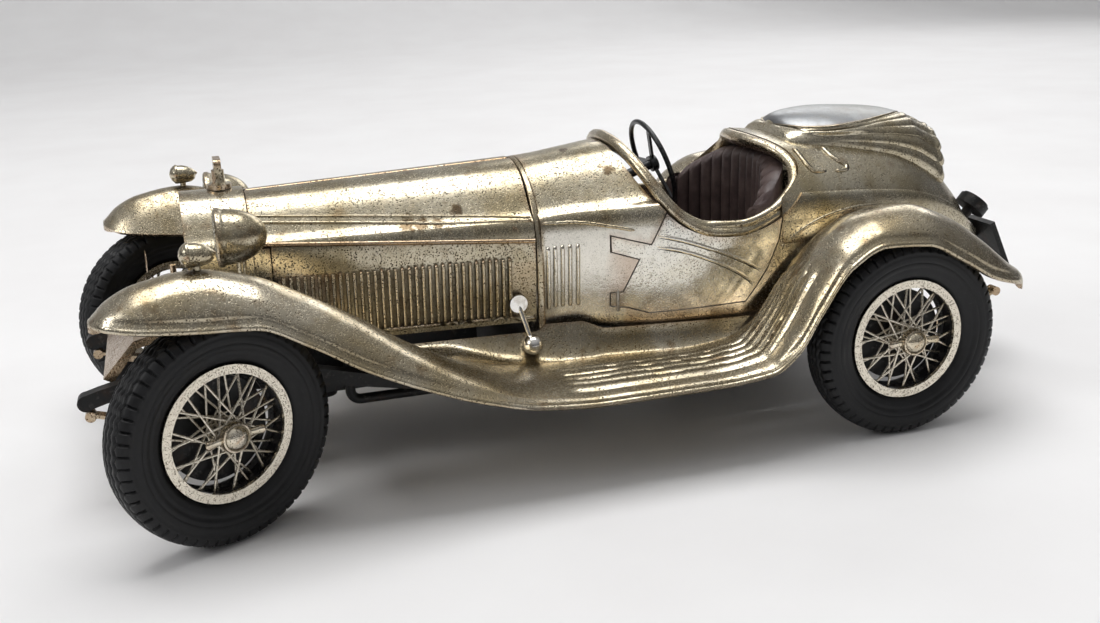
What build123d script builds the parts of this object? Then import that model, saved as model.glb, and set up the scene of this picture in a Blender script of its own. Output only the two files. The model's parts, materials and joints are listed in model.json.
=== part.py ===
"""Diecast collector car: an open two-seater with swept wings, wire wheels and a folded hood.

The nose points to -X, the car's left side is -Y and the tyres stand on z = 0.  The front wheels rest
turned to the left, as the model is displayed.  Profiles are drawn from the middle of the wheelbase;
each finished piece is then moved so that the origin lies under the middle of the overall length.
"""
import os
from math import cos, radians, sin, tan

from build123d import *

os.makedirs("parts", exist_ok=True)

# ---- driving dimensions (mm) ----
wheelbase = 152.0
half_track = 43.9
tyre_radius = 22.5
tyre_half_width = 4.3
rim_radius = 13.6
skin = 1.2              # thickness of the body panels
shut_gap = 0.3          # clearance around doors and bonnet panels
steer_at_rest = 26.0    # degrees, to the car's left
origin_x = 14.26        # middle of the overall length, aft of the middle of the wheelbase

front_x = -wheelbase / 2
rear_x = wheelbase / 2
hub_z = tyre_radius

# ---- cross-sections of the body and bonnet: x, half width, top, height of the widest line, bottom ----
body_stations = [
    (0.0, 19.5, 62.4, 42.0, 23.0),
    (22.0, 22.8, 65.0, 42.0, 21.8),
    (44.0, 25.6, 64.8, 42.0, 21.5),
    (66.0, 26.4, 62.2, 42.0, 22.0),
    (86.0, 25.0, 60.0, 41.0, 23.0),
    (102.0, 20.5, 55.5, 38.0, 25.0),
    (112.0, 16.0, 48.0, 34.0, 26.0),
    (119.0, 11.5, 38.5, 31.5, 27.0),
]
bonnet_front_x = -61.0
bonnet_rear_x = -1.5
bonnet_stations = [
    (bonnet_front_x, 14.6, 60.0, 44.0, 24.0),
    (bonnet_rear_x, 19.4, 62.2, 42.0, 24.0),
]
radiator_stations = [
    (-74.5, 14.4, 60.8, 44.0, 27.0),
    (-61.6, 14.9, 60.8, 44.0, 24.0),
]
sill_radius = 3.0

# ---- wings: x, inner edge (y, z), crest z, outer edge (y, z); y runs outward from the centre ----
crest_y = 43.5
wing_stations = [
    (-91.8, 39.5, 46.4, 48.0, 47.5, 46.6),
    (-89.5, 36.8, 45.6, 50.2, 50.0, 46.2),
    (-84.0, 34.4, 45.0, 52.8, 51.5, 45.4),
    (-74.0, 33.0, 44.2, 54.3, 52.0, 44.6),
    (-64.0, 32.6, 43.4, 52.2, 52.0, 44.0),
    (-55.0, 32.0, 40.5, 47.8, 52.0, 39.6),
    (-45.0, 30.5, 35.0, 41.7, 52.0, 33.4),
    (-34.0, 28.5, 29.0, 34.2, 52.0, 28.0),
    (-22.0, 26.5, 24.4, 27.4, 52.0, 23.4),
    (-10.0, 25.0, 21.4, 22.8, 52.0, 20.4),
    (4.0, 24.4, 20.2, 22.0, 52.0, 19.9),
    (28.0, 26.4, 20.2, 22.0, 52.0, 19.9),
    (40.0, 27.2, 21.4, 23.4, 52.0, 20.8),
    (46.0, 27.2, 24.0, 30.8, 52.0, 24.6),
    (51.0, 27.2, 29.4, 39.2, 52.0, 32.2),
    (58.0, 27.2, 38.4, 47.3, 52.0, 41.6),
    (66.0, 27.2, 44.4, 51.2, 52.0, 45.4),
    (76.0, 27.2, 47.8, 52.2, 52.0, 44.8),
    (86.0, 27.4, 47.6, 48.8, 51.6, 40.0),
    (95.0, 28.4, 43.6, 43.0, 50.6, 35.0),
    (103.0, 31.5, 38.0, 36.6, 48.0, 32.4),
    (108.6, 37.0, 31.8, 32.0, 43.0, 30.8),
]
wing_skin = 1.3

running_clearance = 0.06

# ---- steering ----
kingpin_y = 34.7
kingpin_radius = 1.0
track_arm = 7.0          # knuckle arm and column crank share this radius
track_rod_z = 12.6
spindle_radius = 1.5
column_tilt = 19.0
steering_wheel_centre = (38.5, 10.0, 56.0)
steering_wheel_radius = 11.0


def arch_points(width, height, belt, steps=6):
    """Points along the half-ellipse that arches from one side of a section to the other."""
    angles = [180.0 * step / steps for step in range(steps + 1)]
    return [(width * cos(radians(angle)), belt + height * sin(radians(angle))) for angle in angles]


def hull(stations, grow=0.0, drop=0.0, start=None, end=None):
    """Solid lofted through rounded-arch sections, each grown outward and its floor dropped."""
    with BuildPart() as solid:
        for index, (x, half_width, top, belt, bottom) in enumerate(stations):
            if index == 0 and start is not None:
                x = start
            if index == len(stations) - 1 and end is not None:
                x = end
            width = half_width + grow
            floor = bottom - grow - drop
            foot = width * 0.94
            with BuildSketch(Plane.YZ.offset(x)):
                with BuildLine():
                    Spline(*arch_points(width, top + grow - belt, belt), tangents=((0, 1), (0, -1)))
                    Polyline((-width, belt), (-foot, floor + sill_radius), (-foot + sill_radius, floor),
                             (foot - sill_radius, floor), (foot, floor + sill_radius), (width, belt))
                make_face()
        loft()
    return solid.part


def side_prism(sketch_face, reach=70.0):
    """A side-view outline stretched right across the car."""
    with BuildPart() as prism:
        add(extrude(sketch_face, amount=reach, both=True, mode=Mode.PRIVATE))
    return prism.part


def mirrored(shape):
    """The same piece on the car's other side."""
    return mirror(shape, about=Plane.XZ)


def save(shape, name):
    """Move a finished piece to the model's origin, label it and write its STEP file."""
    placed = Pos(-origin_x, 0, 0) * shape
    placed.label = name
    export_step(placed, f"parts/{name}.step")


def save_pair(left, name):
    """Write a left-hand piece and its mirror image."""
    save(left, f"{name}_left")
    save(mirrored(left), f"{name}_right")


# Plane.XZ looks along +Y with its normal at -Y, so a sketch on it reads (x, z) directly.
# ---------------------------------------------------------------- cockpit opening and door outlines
opening_outline = [(20.5, 70.0), (27.5, 56.0), (34.0, 49.6), (42.0, 47.4), (50.0, 48.6), (57.0, 53.0),
                   (61.0, 70.0)]
opening_centre = (43.0, 66.0)
coaming_width = 2.6


def opening_face(grow=0.0):
    """Side view of the cockpit opening, spread by grow from its centre."""
    spread = []
    for x, z in opening_outline:
        reach = ((x - opening_centre[0]) ** 2 + (z - opening_centre[1]) ** 2) ** 0.5
        stretch = grow / reach
        spread.append((x + stretch * (x - opening_centre[0]), z + stretch * (z - opening_centre[1])))
    with BuildSketch(Plane.XZ) as face:
        with BuildLine():
            rim_curve = Spline(*spread)
            Line(rim_curve @ 1, rim_curve @ 0)
        make_face()
    return face.sketch


with BuildSketch(Plane.XZ) as coaming_band:
    add(opening_face(coaming_width))
    add(opening_face(), mode=Mode.SUBTRACT)

with BuildSketch(Plane.XZ) as door_outline:
    with BuildLine():
        Polyline((15.6, 46.4), (24.4, 44.0), (29.5, 54.0), (56.2, 54.0), (54.4, 43.0), (52.0, 36.5),
                 (49.6, 32.4), (47.0, 28.8), (24.2, 28.2), (19.2, 29.8), (15.6, 30.2), (15.6, 33.1),
                 (18.4, 33.3), (21.9, 41.0), (15.6, 43.0), close=True)
    make_face()

with BuildSketch(Plane.XZ) as door_hole:
    add(door_outline.sketch)
    offset(amount=shut_gap, kind=Kind.INTERSECTION)

body_outer = hull(body_stations)
body_inner = hull(body_stations, grow=-skin, drop=8.0, start=1.6, end=117.8)
column_direction = (cos(radians(column_tilt)), 0, sin(radians(column_tilt)))
column_plane = Plane(origin=steering_wheel_centre, x_dir=(0, 1, 0), z_dir=column_direction)

# ---------------------------------------------------------------- door hinge pins, inside the skin
door_pin_spot = (17.2, -20.5)
door_pin_radius = 0.4
door_pin_bottom_z = 28.8
door_pin_top_z = 47.4
door_knuckle_radius = 1.62


def door_pin_shape(radius):
    """Upright cylinder on the left door's hinge line."""
    with BuildPart() as cylinder:
        with Locations((*door_pin_spot, (door_pin_bottom_z + door_pin_top_z) / 2)):
            Cylinder(radius, door_pin_top_z - door_pin_bottom_z)
    return cylinder.part


door_pin = door_pin_shape(door_pin_radius)
save(Compound(children=[door_pin, mirrored(door_pin)]), "door_hinge_pins")

# ---------------------------------------------------------------- body shell
axle_notch_radius = 4.0
with BuildPart() as body_shell:
    add(body_outer)
    add(body_inner, mode=Mode.SUBTRACT)
    add(side_prism(opening_face(coaming_width)), mode=Mode.SUBTRACT)
    add(side_prism(door_hole.sketch), mode=Mode.SUBTRACT)
    add(door_pin, mode=Mode.SUBTRACT)
    add(mirrored(door_pin), mode=Mode.SUBTRACT)
    with Locations(Location((rear_x, 0, hub_z), (90, 0, 0))):
        Cylinder(axle_notch_radius, 80, mode=Mode.SUBTRACT)
    with Locations(column_plane):
        Cylinder(radius=1.7, height=120, mode=Mode.SUBTRACT)
save(body_shell.part, "body_shell")

# ---------------------------------------------------------------- coaming: the rolled rim of the cockpit
with BuildPart() as coaming:
    add(hull(body_stations, grow=0.9))
    add(hull(body_stations, grow=-skin, drop=8.0, start=1.6, end=117.8), mode=Mode.SUBTRACT)
    add(side_prism(coaming_band.sketch), mode=Mode.INTERSECT)
save(coaming.part, "coaming")

# ---------------------------------------------------------------- doors, with rounded hinge knuckles
with BuildPart() as knuckle_trim:
    with Locations((door_pin_spot[0] - 2, door_pin_spot[1], 40)):
        Box(4, 10, 60)
    with Locations((*door_pin_spot, 40)):
        Cylinder(door_knuckle_radius, 60, mode=Mode.SUBTRACT)

with BuildPart() as door:
    add(body_outer)
    add(body_inner, mode=Mode.SUBTRACT)
    add(side_prism(door_outline.sketch), mode=Mode.INTERSECT)
    add(side_prism(opening_face(coaming_width + 0.25)), mode=Mode.SUBTRACT)
    with Locations((35, 35, 40)):
        Box(80, 70, 60, mode=Mode.SUBTRACT)
    add(knuckle_trim.part, mode=Mode.SUBTRACT)
    add(door_pin_shape(door_pin_radius + running_clearance), mode=Mode.SUBTRACT)
save_pair(door.part, "door")

# ---------------------------------------------------------------- bonnet
bonnet_outer = hull(bonnet_stations)
bonnet_inner = hull(bonnet_stations, grow=-skin, drop=8.0, start=bonnet_front_x - 1,
                    end=bonnet_rear_x + 1)
hinge_rod_radius = 0.6
ridge_front_z = bonnet_stations[0][2] - 0.4
ridge_rear_z = bonnet_stations[1][2] - 0.4
seam_front_z = 51.1
seam_rear_z = 47.0
seam_bead_radius = 0.5
seam_front = (bonnet_front_x, -13.96, seam_front_z - 0.15)
seam_rear = (bonnet_rear_x, -19.28, seam_rear_z - 0.15)
side_front_x = -57.5          # the louvred panel stops short of the headlight's tail
panel_bottom_z = 28.2


def seam_bead(radius, overrun=0.0):
    """Round bar along the left seam, on which the louvred side hangs."""
    run = Vector(*seam_rear) - Vector(*seam_front)
    step = run.normalized() * overrun
    with BuildPart() as bar:
        with BuildLine() as seam_line:
            Line(Vector(*seam_front) - step, Vector(*seam_rear) + step)
        with BuildSketch(Plane(origin=seam_line.line @ 0, z_dir=seam_line.line % 0)):
            Circle(radius)
        sweep(path=seam_line.line)
    return bar.part


with BuildPart() as bonnet_hinge:
    with BuildLine() as ridge_line:
        Line((bonnet_front_x + 0.4, 0, ridge_front_z), (bonnet_rear_x - 0.4, 0, ridge_rear_z))
    with BuildSketch(Plane(origin=ridge_line.line @ 0, z_dir=ridge_line.line % 0)):
        Circle(hinge_rod_radius)
    sweep(path=ridge_line.line)
save(bonnet_hinge.part, "bonnet_hinge")

with BuildSketch(Plane.XZ) as bonnet_top_outline:
    with BuildLine():
        Polyline((bonnet_front_x, seam_front_z), (bonnet_rear_x, seam_rear_z), (bonnet_rear_x, 70),
                 (bonnet_front_x, 70), close=True)
    make_face()

with BuildSketch(Plane.XZ) as bonnet_side_outline:
    with BuildLine():
        Polyline((bonnet_front_x, seam_front_z - shut_gap), (bonnet_rear_x, seam_rear_z - shut_gap),
                 (bonnet_rear_x, panel_bottom_z), (bonnet_front_x, panel_bottom_z), close=True)
    make_face()
    with Locations(((bonnet_front_x + side_front_x) / 2, 40)):
        Rectangle(side_front_x - bonnet_front_x, 40, mode=Mode.SUBTRACT)

with BuildPart() as bonnet_top:
    add(bonnet_outer)
    add(bonnet_inner, mode=Mode.SUBTRACT)
    add(side_prism(bonnet_top_outline.sketch), mode=Mode.INTERSECT)
    with Locations((-30, 40 - hinge_rod_radius - 0.15, 50)):
        Box(80, 80, 60, mode=Mode.SUBTRACT)
    add(seam_bead(seam_bead_radius))
save_pair(bonnet_top.part, "bonnet_top")

louvre_count = 34
louvre_pitch = 1.46
louvre_width = 0.8
louvre_middle_x = -31.5
louvre_middle_z = 36.6
louvre_height = 13.6

with BuildPart() as louvre_blanks:
    with Locations(Location((louvre_middle_x, -20, louvre_middle_z))):
        with GridLocations(louvre_pitch, 1, louvre_count, 1):
            Box(louvre_width, 20, louvre_height)

with BuildPart() as bonnet_side:
    add(hull(bonnet_stations, grow=0.45))
    add(louvre_blanks.part, mode=Mode.INTERSECT)
    add(bonnet_outer)
    add(bonnet_inner, mode=Mode.SUBTRACT)
    add(side_prism(bonnet_side_outline.sketch), mode=Mode.INTERSECT)
    with Locations((-30, 40, 50)):
        Box(80, 80, 60, mode=Mode.SUBTRACT)
    add(seam_bead(seam_bead_radius + running_clearance, overrun=1.0), mode=Mode.SUBTRACT)
save_pair(bonnet_side.part, "bonnet_side")

# ---------------------------------------------------------------- bonnet catch: ring, rod and ball
catch_pivot = (-6.0, -19.0, 33.2)
catch_ball = (-3.6, -22.0, 24.0)
catch_ball_radius = 2.3
with BuildPart() as bonnet_catch:
    with BuildSketch(Plane(origin=catch_pivot, z_dir=(0, -1, 0))):
        Circle(2.0)
    extrude(amount=1.3)
    with BuildLine() as catch_rod:
        Line((catch_pivot[0], catch_pivot[1] - 0.6, catch_pivot[2]), catch_ball)
    with BuildSketch(Plane(origin=catch_rod.line @ 0, z_dir=catch_rod.line % 0)):
        Circle(0.55)
    sweep(path=catch_rod.line)
    with Locations(catch_ball):
        Sphere(catch_ball_radius)
save_pair(bonnet_catch.part, "bonnet_catch")

# ---------------------------------------------------------------- radiator
cheek_rear_x = side_front_x - shut_gap
with BuildPart() as radiator_cheeks:
    add(bonnet_outer)
    add(bonnet_inner, mode=Mode.SUBTRACT)
    with Locations(((bonnet_front_x + cheek_rear_x) / 2, 0, 37)):
        Box(cheek_rear_x - bonnet_front_x, 80, 26, mode=Mode.INTERSECT)

with BuildPart() as radiator_shell:
    add(hull(radiator_stations, end=bonnet_front_x - shut_gap))
    add(radiator_cheeks.part)
    with Locations((bonnet_front_x, 14.0, 37), (bonnet_front_x, -14.0, 37)):
        Box(1.2, 0.8, 24)
    add(hull(radiator_stations, grow=-1.8, start=-76, end=-63.0), mode=Mode.SUBTRACT)
save(radiator_shell.part, "radiator_shell")

with BuildPart() as radiator_core:
    add(hull(radiator_stations, grow=-1.9, start=-76, end=-63.0))
    with Locations((-70.5, 0, 45)):
        Box(4.0, 40, 60, mode=Mode.INTERSECT)
save(radiator_core.part, "radiator_core")

cap_x = -66.0
cap_base_z = 60.85
with BuildPart() as radiator_cap:
    with BuildSketch(Plane.XZ):
        with BuildLine():
            Polyline((0, cap_base_z), (2.6, cap_base_z), (2.6, cap_base_z + 1.0), (1.5, cap_base_z + 1.4),
                     (1.3, cap_base_z + 4.0), (0, cap_base_z + 4.0), close=True)
        make_face()
    revolve(axis=Axis.Z)
    with Locations((0, 0, cap_base_z + 5.0)):
        Box(1.5, 6.6, 3.2)
    fillet(radiator_cap.edges().filter_by(Axis.X).group_by(Axis.Z)[-1], radius=1.2)
save(Pos(cap_x, 0, 0) * radiator_cap.part, "radiator_cap")

# ---------------------------------------------------------------- wings: front wing, board and rear wing


def wing_solid(shrink=0.0):
    """Wing section loft; a positive shrink gives the hollow underside."""
    with BuildPart() as solid:
        last = len(wing_stations) - 1
        for index, (x, inner_y, inner_z, crest_z, outer_y, outer_z) in enumerate(wing_stations):
            if shrink and index == 0:
                x += shrink
            if shrink and index == last:
                x -= shrink
            inner = (-inner_y - shrink, inner_z - shrink)
            outer = (-outer_y + shrink, outer_z - shrink)
            crest = (-min(crest_y, (inner_y + outer_y) / 2 + 3), crest_z - shrink)
            floor = min(inner[1], outer[1]) - (6 if shrink else 0.6)
            with BuildSketch(Plane.YZ.offset(x)):
                with BuildLine():
                    Spline(inner, crest, outer, tangents=((-0.75, 0.65), (-0.1, -1)))
                    Polyline(outer, (outer[0], floor), (inner[0], floor), inner)
                make_face()
        loft()
    return solid.part


with BuildPart() as wing:
    add(wing_solid())
    add(wing_solid(shrink=wing_skin), mode=Mode.SUBTRACT)
save_pair(wing.part, "wing")

# ---------------------------------------------------------------- chassis base
rail_y = 20.7
rail_width = 3.0
base_top_z = 19.6
base_bottom_z = 17.4
base_front_x = -58.0
kick_x = 60.0
base_rear_x = 106.0
upper_bottom_z = 30.2
upper_top_z = 32.0
screw_radius = 1.25
screw_spacing = 96.0
screw_boss_radius = 3.2
eye_front = (-97.0, 23.9)

with BuildPart() as chassis_base:
    with BuildSketch(Plane.XZ):
        with BuildLine():
            Polyline((base_front_x, base_bottom_z), (kick_x + 2, base_bottom_z),
                     (kick_x + 2, upper_bottom_z),
                     (base_rear_x, upper_bottom_z - 1.5), (base_rear_x, upper_top_z - 1.5),
                     (kick_x, upper_top_z), (kick_x, base_top_z), (base_front_x, base_top_z), close=True)
        make_face()
    extrude(amount=16.5, both=True)
    with BuildSketch(Plane.XY.offset(base_bottom_z)):
        with Locations((16, 0)):
            Rectangle(80, 2 * 24.2)
    extrude(amount=base_top_z - base_bottom_z)
    with Locations((screw_spacing / 2, 0, 14.4), (-screw_spacing / 2, 0, 14.4)):
        Cylinder(screw_boss_radius, 6.4)
    with Locations((screw_spacing / 2, 0, 14.2), (-screw_spacing / 2, 0, 14.2)):
        Cylinder(screw_radius, 6.0, mode=Mode.SUBTRACT)

with BuildSketch(Plane.XZ) as rail_outline:
    with BuildLine():
        horn_top = Spline((-56, 26.4), (-74, 28.2), (-88, 27.6), (eye_front[0], eye_front[1] + 1.7))
        horn_nose = ThreePointArc(horn_top @ 1, (eye_front[0] - 1.7, eye_front[1]),
                                  (eye_front[0], eye_front[1] - 1.7))
        horn_belly = Spline(horn_nose @ 1, (-88, 24.2), (-74, 23.4), (-56, 22.4))
        Polyline(horn_belly @ 1, (-30, base_bottom_z), (0, base_bottom_z), (0, base_top_z),
                 (-30, base_top_z),
                 horn_top @ 0)
    make_face()

with BuildPart() as frame_rails:
    for side in (-1, 1):
        with BuildSketch(Plane.XZ.offset(-side * rail_y)):
            add(rail_outline.sketch)
        extrude(amount=rail_width / 2, both=True)

with BuildPart() as chassis:
    add(chassis_base.part)
    add(frame_rails.part)
    with Locations((-57, 0, 21.4)):
        Box(3.0, 2 * rail_y - rail_width, 8.0)
    with Locations(column_plane):
        Cylinder(1.7, 220, mode=Mode.SUBTRACT)
save(chassis.part, "chassis_base")

# ---------------------------------------------------------------- leaf springs
leaf_count = 4
leaf_thickness = 0.7
front_spring_z = 18.2


def leaf_spring(middle_x, middle_z, half_span, rise):
    """A stack of shortening leaves bowed downward, with a rolled eye at each end."""
    with BuildPart() as spring:
        for leaf in range(leaf_count):
            span = half_span * (1 - 0.2 * leaf)
            lift = rise * (span / half_span) ** 2
            top = middle_z - leaf * leaf_thickness
            with BuildSketch(Plane.XZ):
                with BuildLine():
                    upper = ThreePointArc((middle_x - span, top + lift), (middle_x, top),
                                          (middle_x + span, top + lift))
                    lower = ThreePointArc((middle_x + span, top + lift - leaf_thickness * 1.02),
                                          (middle_x, top - leaf_thickness * 1.02),
                                          (middle_x - span, top + lift - leaf_thickness * 1.02))
                    Line(upper @ 1, lower @ 0)
                    Line(lower @ 1, upper @ 0)
                make_face()
            extrude(amount=1.3, both=True)
        with BuildSketch(Plane.XZ):
            for end in (-1, 1):
                with Locations((middle_x + end * half_span, middle_z + rise - leaf_thickness)):
                    Circle(1.1)
        extrude(amount=1.3, both=True)
    return spring.part


front_spring = leaf_spring(front_x, front_spring_z, 20.5, 3.4)
rear_spring_y = 26.6
rear_spring = leaf_spring(rear_x + 10, 17.6, 27.5, 7.2)
springs = Compound(children=[Pos(0, side * y, 0) * shape
                             for side in (-1, 1)
                             for y, shape in ((rail_y, front_spring), (rear_spring_y, rear_spring))])
save(springs, "leaf_springs")

# ---------------------------------------------------------------- front axle beam and kingpins
ear_thickness = 2.4
barrel_bottom_z = 17.2
barrel_top_z = 27.8
ear_gap = 0.1
beam_z = 13.9

with BuildPart() as front_axle:
    with Locations((front_x, 0, beam_z)):
        Box(3.0, 2 * (kingpin_y - 3.0), 2.0)
    for side in (-1, 1):
        with Locations((front_x, side * (kingpin_y - 3.8), (beam_z + barrel_top_z + 2.5) / 2)):
            Box(3.4, 1.6, barrel_top_z + 2.5 - beam_z + 2)
        ear_reach = ear_gap + ear_thickness / 2
        for ear_z in (barrel_bottom_z - ear_reach, barrel_top_z + ear_reach):
            with Locations((front_x, side * kingpin_y, ear_z)):
                Cylinder(2.2, ear_thickness)
            with Locations((front_x, side * (kingpin_y - 2.3), ear_z)):
                Box(3.4, 4.6, ear_thickness)
            with Locations((front_x, side * kingpin_y, ear_z)):
                Cylinder(kingpin_radius, ear_thickness * 2, mode=Mode.SUBTRACT)
    for side in (-1, 1):
        with Locations((front_x, side * rail_y, 14.9)):
            Box(3.4, 3.2, 0.9)
save(front_axle.part, "front_axle")

with BuildPart() as kingpins:
    with Locations((front_x, -kingpin_y, 22.5), (front_x, kingpin_y, 22.5)):
        Cylinder(kingpin_radius, barrel_top_z - barrel_bottom_z + 2 * (ear_thickness + ear_gap))
save(kingpins.part, "kingpins")

# ---------------------------------------------------------------- steering knuckles with drum and track arm
drum_radius = 10.4
drum_inboard = 4.6
drum_outboard = 1.6
wheel_offset = half_track - kingpin_y      # kingpin to the wheel's middle plane


def straight_knuckle():
    """Left knuckle with the wheels straight ahead."""
    with BuildPart() as knuckle:
        with Locations((front_x, -kingpin_y, (barrel_bottom_z + barrel_top_z) / 2)):
            Cylinder(2.2, barrel_top_z - barrel_bottom_z)
        drum_y = -kingpin_y - wheel_offset + (drum_inboard + drum_outboard) / 2
        with Locations(Location((front_x, drum_y, hub_z), (90, 0, 0))):
            Cylinder(drum_radius, drum_inboard - drum_outboard)
        spindle_end_y = -kingpin_y - wheel_offset - 2.6
        with Locations(Location((front_x, (spindle_end_y - kingpin_y) / 2, hub_z), (90, 0, 0))):
            Cylinder(spindle_radius, -kingpin_y - spindle_end_y)
        with Locations((front_x + track_arm / 2 + 0.4, -kingpin_y, barrel_bottom_z + 1.4)):
            Box(track_arm + 0.8, 2.6, 2.4)
        arm_drop_z = (barrel_bottom_z + track_rod_z - 2.6) / 2 + 0.5
        with Locations((front_x + track_arm, -kingpin_y, arm_drop_z)):
            Cylinder(0.9, barrel_bottom_z - track_rod_z + 3.6)
        with Locations((front_x, -kingpin_y, hub_z)):
            Cylinder(kingpin_radius + running_clearance, 20, mode=Mode.SUBTRACT)
    return knuckle.part


def steered(shape, side):
    """Turn a straight-ahead front piece about its kingpin to the displayed lock."""
    return shape.rotate(Axis((front_x, side * kingpin_y, 0), (0, 0, 1)), steer_at_rest)


save(steered(straight_knuckle(), -1), "knuckle_left")
save(steered(mirrored(straight_knuckle()), 1), "knuckle_right")

# ---------------------------------------------------------------- track rod
rod_x = front_x + track_arm * cos(radians(steer_at_rest))
rod_shift = track_arm * sin(radians(steer_at_rest))
rod_ends = [(rod_x, rod_shift + side * kingpin_y, track_rod_z) for side in (-1, 1)]
pin_radius = 0.8
slot_bottom_z = 9.9
slot_top_z = 14.8
with BuildPart() as track_rod:
    with Locations((rod_x, rod_shift, track_rod_z)):
        Box(1.6, 2 * kingpin_y, 1.8)
    with Locations((rod_x, rod_shift + steering_wheel_centre[1], track_rod_z)):
        Box(1.6, 5.0, 7.4)
    with Locations(*rod_ends):
        Cylinder(1.9, 2.2)
    with Locations(*rod_ends):
        Cylinder(0.9 + running_clearance, 6, mode=Mode.SUBTRACT)
    with Locations((rod_x, rod_shift + steering_wheel_centre[1], (slot_bottom_z + slot_top_z) / 2)):
        Box(4, 2 * (pin_radius + running_clearance), slot_top_z - slot_bottom_z, mode=Mode.SUBTRACT)
save(track_rod.part, "track_rod")

# ---------------------------------------------------------------- steering column and wheel
column_length = 108.5
crank_thickness = 1.4
crank_pin_length = 7.6
with BuildPart() as straight_column:
    with Locations((0, 0, -column_length / 2)):
        Cylinder(1.2, column_length)
    with Locations((0, 0, -column_length)):
        Cylinder(2.0, crank_thickness)
    # The column's plane has its y axis pointing up the slope, so the crank hangs along -y.
    with Locations((0, -track_arm / 2, -column_length)):
        Box(2.2, track_arm, crank_thickness)
    with Locations((0, -track_arm, -column_length - crank_pin_length / 2)):
        Cylinder(pin_radius, crank_pin_length + crank_thickness)
save(column_plane.location * straight_column.part.rotate(Axis.Z, steer_at_rest), "steering_column")

with BuildPart() as steering_wheel_flat:
    Torus(steering_wheel_radius, 0.62)
    for spoke_angle in (90, 210, 330):
        with Locations(Location((0, 0, 0), (0, 0, spoke_angle))):
            with Locations((steering_wheel_radius / 2 + 0.9, 0, 0)):
                Box(steering_wheel_radius - 1.6, 1.2, 0.6)
    Cylinder(2.0, 1.6)
    Cylinder(1.2, 4, mode=Mode.SUBTRACT)
    with Locations((0, 0, 0.55)):
        Cylinder(1.7, 0.9)
save(column_plane.location * steering_wheel_flat.part.rotate(Axis.Z, steer_at_rest), "steering_wheel")

# ---------------------------------------------------------------- rear axle
axle_radius = 1.5
housing_half = half_track - drum_outboard
with BuildPart() as rear_axle:
    with Locations(Location((rear_x, 0, hub_z), (90, 0, 0))):
        Cylinder(axle_radius, 2 * (half_track + 2.6))
save(rear_axle.part, "rear_axle")

with BuildPart() as axle_housing:
    with Locations(Location((rear_x, 0, hub_z), (90, 0, 0))):
        Cylinder(2.8, 2 * housing_half)
    with Locations((rear_x, 0, hub_z)):
        Sphere(6.6)
    for side in (-1, 1):
        drum_y = side * (half_track - (drum_inboard + drum_outboard) / 2)
        with Locations(Location((rear_x, drum_y, hub_z), (90, 0, 0))):
            Cylinder(drum_radius, drum_inboard - drum_outboard)
    with Locations(Location((rear_x, 0, hub_z), (90, 0, 0))):
        Cylinder(axle_radius + running_clearance, 120, mode=Mode.SUBTRACT)
save(axle_housing.part, "axle_housing")

# ---------------------------------------------------------------- wheels, built about +Y through the hub
ring_inner_radius = 11.8
rim_face = 2.2            # rim lip ahead of the wheel's middle plane
barrel_radius = 12.8

with BuildPart() as tyre:
    with BuildSketch(Plane.XY):
        with BuildLine():
            side_out = Spline((rim_radius + 0.05, rim_face - 0.2), (16.6, 3.7), (19.6, tyre_half_width),
                              (21.6, 3.5), tangents=((0.6, 0.9), (0.45, -0.9)))
            tread = ThreePointArc(side_out @ 1, (tyre_radius, 0), (21.6, -3.5))
            side_in = Spline(tread @ 1, (19.6, -tyre_half_width), (16.6, -3.7),
                             (rim_radius + 0.05, -rim_face),
                             tangents=((-0.45, -0.9), (-0.6, 0.9)))
            Line(side_in @ 1, side_out @ 0)
        make_face()
    revolve(axis=Axis.Y)

with BuildPart() as rim:
    with BuildSketch(Plane.XY):
        with BuildLine():
            Polyline((barrel_radius, -1.8), (ring_inner_radius, -2.2), (ring_inner_radius, -3.0),
                     (rim_radius, -3.0), (rim_radius, 3.0), (ring_inner_radius, 3.0),
                     (ring_inner_radius, 2.0), (barrel_radius, 1.6), close=True)
        make_face()
    revolve(axis=Axis.Y)

spoke_count = 20
spoke_radius = 0.26
flange_radius = 2.75
spoke_lead = 62.0         # degrees that a spoke's hub end leads its rim end


def wheel_point(radius, angle, out):
    """A point on the wheel from polar coordinates and its distance outboard."""
    return (radius * cos(radians(angle)), -out, radius * sin(radians(angle)))


with BuildPart() as spokes:
    with BuildSketch(Plane.XY):
        with Locations((12.5, -0.3)):
            Rectangle(0.5, 2.6)
        with Locations((2.55, -1.6)):
            Rectangle(0.5, 5.0)
    revolve(axis=Axis.Y)
    for index in range(spoke_count):
        angle = 360.0 * index / spoke_count
        lead = spoke_lead if index % 2 else -spoke_lead
        for flange_out, rim_out, turn in ((3.9, 1.3, 0.0), (-0.6, -0.5, 180.0 / spoke_count)):
            with BuildLine() as wire:
                Line(wheel_point(flange_radius, angle + lead + turn, flange_out),
                     wheel_point(12.45, angle + turn, rim_out))
            with BuildSketch(Plane(origin=wire.line @ 0, z_dir=wire.line % 0)):
                Circle(spoke_radius)
            sweep(path=wire.line)

with BuildPart() as hub:
    with BuildSketch(Plane.XY):
        with BuildLine():
            Polyline((0, 1.2), (2.25, 1.2), (2.25, -4.3), (2.9, -4.3), (2.9, -5.0))
            dome = Spline((2.9, -5.0), (2.1, -6.4), (0, -6.9), tangents=((0, -1), (-1, 0)))
            Line(dome @ 1, (0, 1.2))
        make_face()
    revolve(axis=Axis.Y)
    with BuildSketch(Plane.XZ.offset(4.6)):
        SlotOverall(11.4, 2.4)
    extrude(amount=1.1)
    with BuildSketch(Plane.XZ.offset(-1.3)):
        Circle(spindle_radius + running_clearance)
    extrude(amount=4.4, mode=Mode.SUBTRACT)

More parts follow.
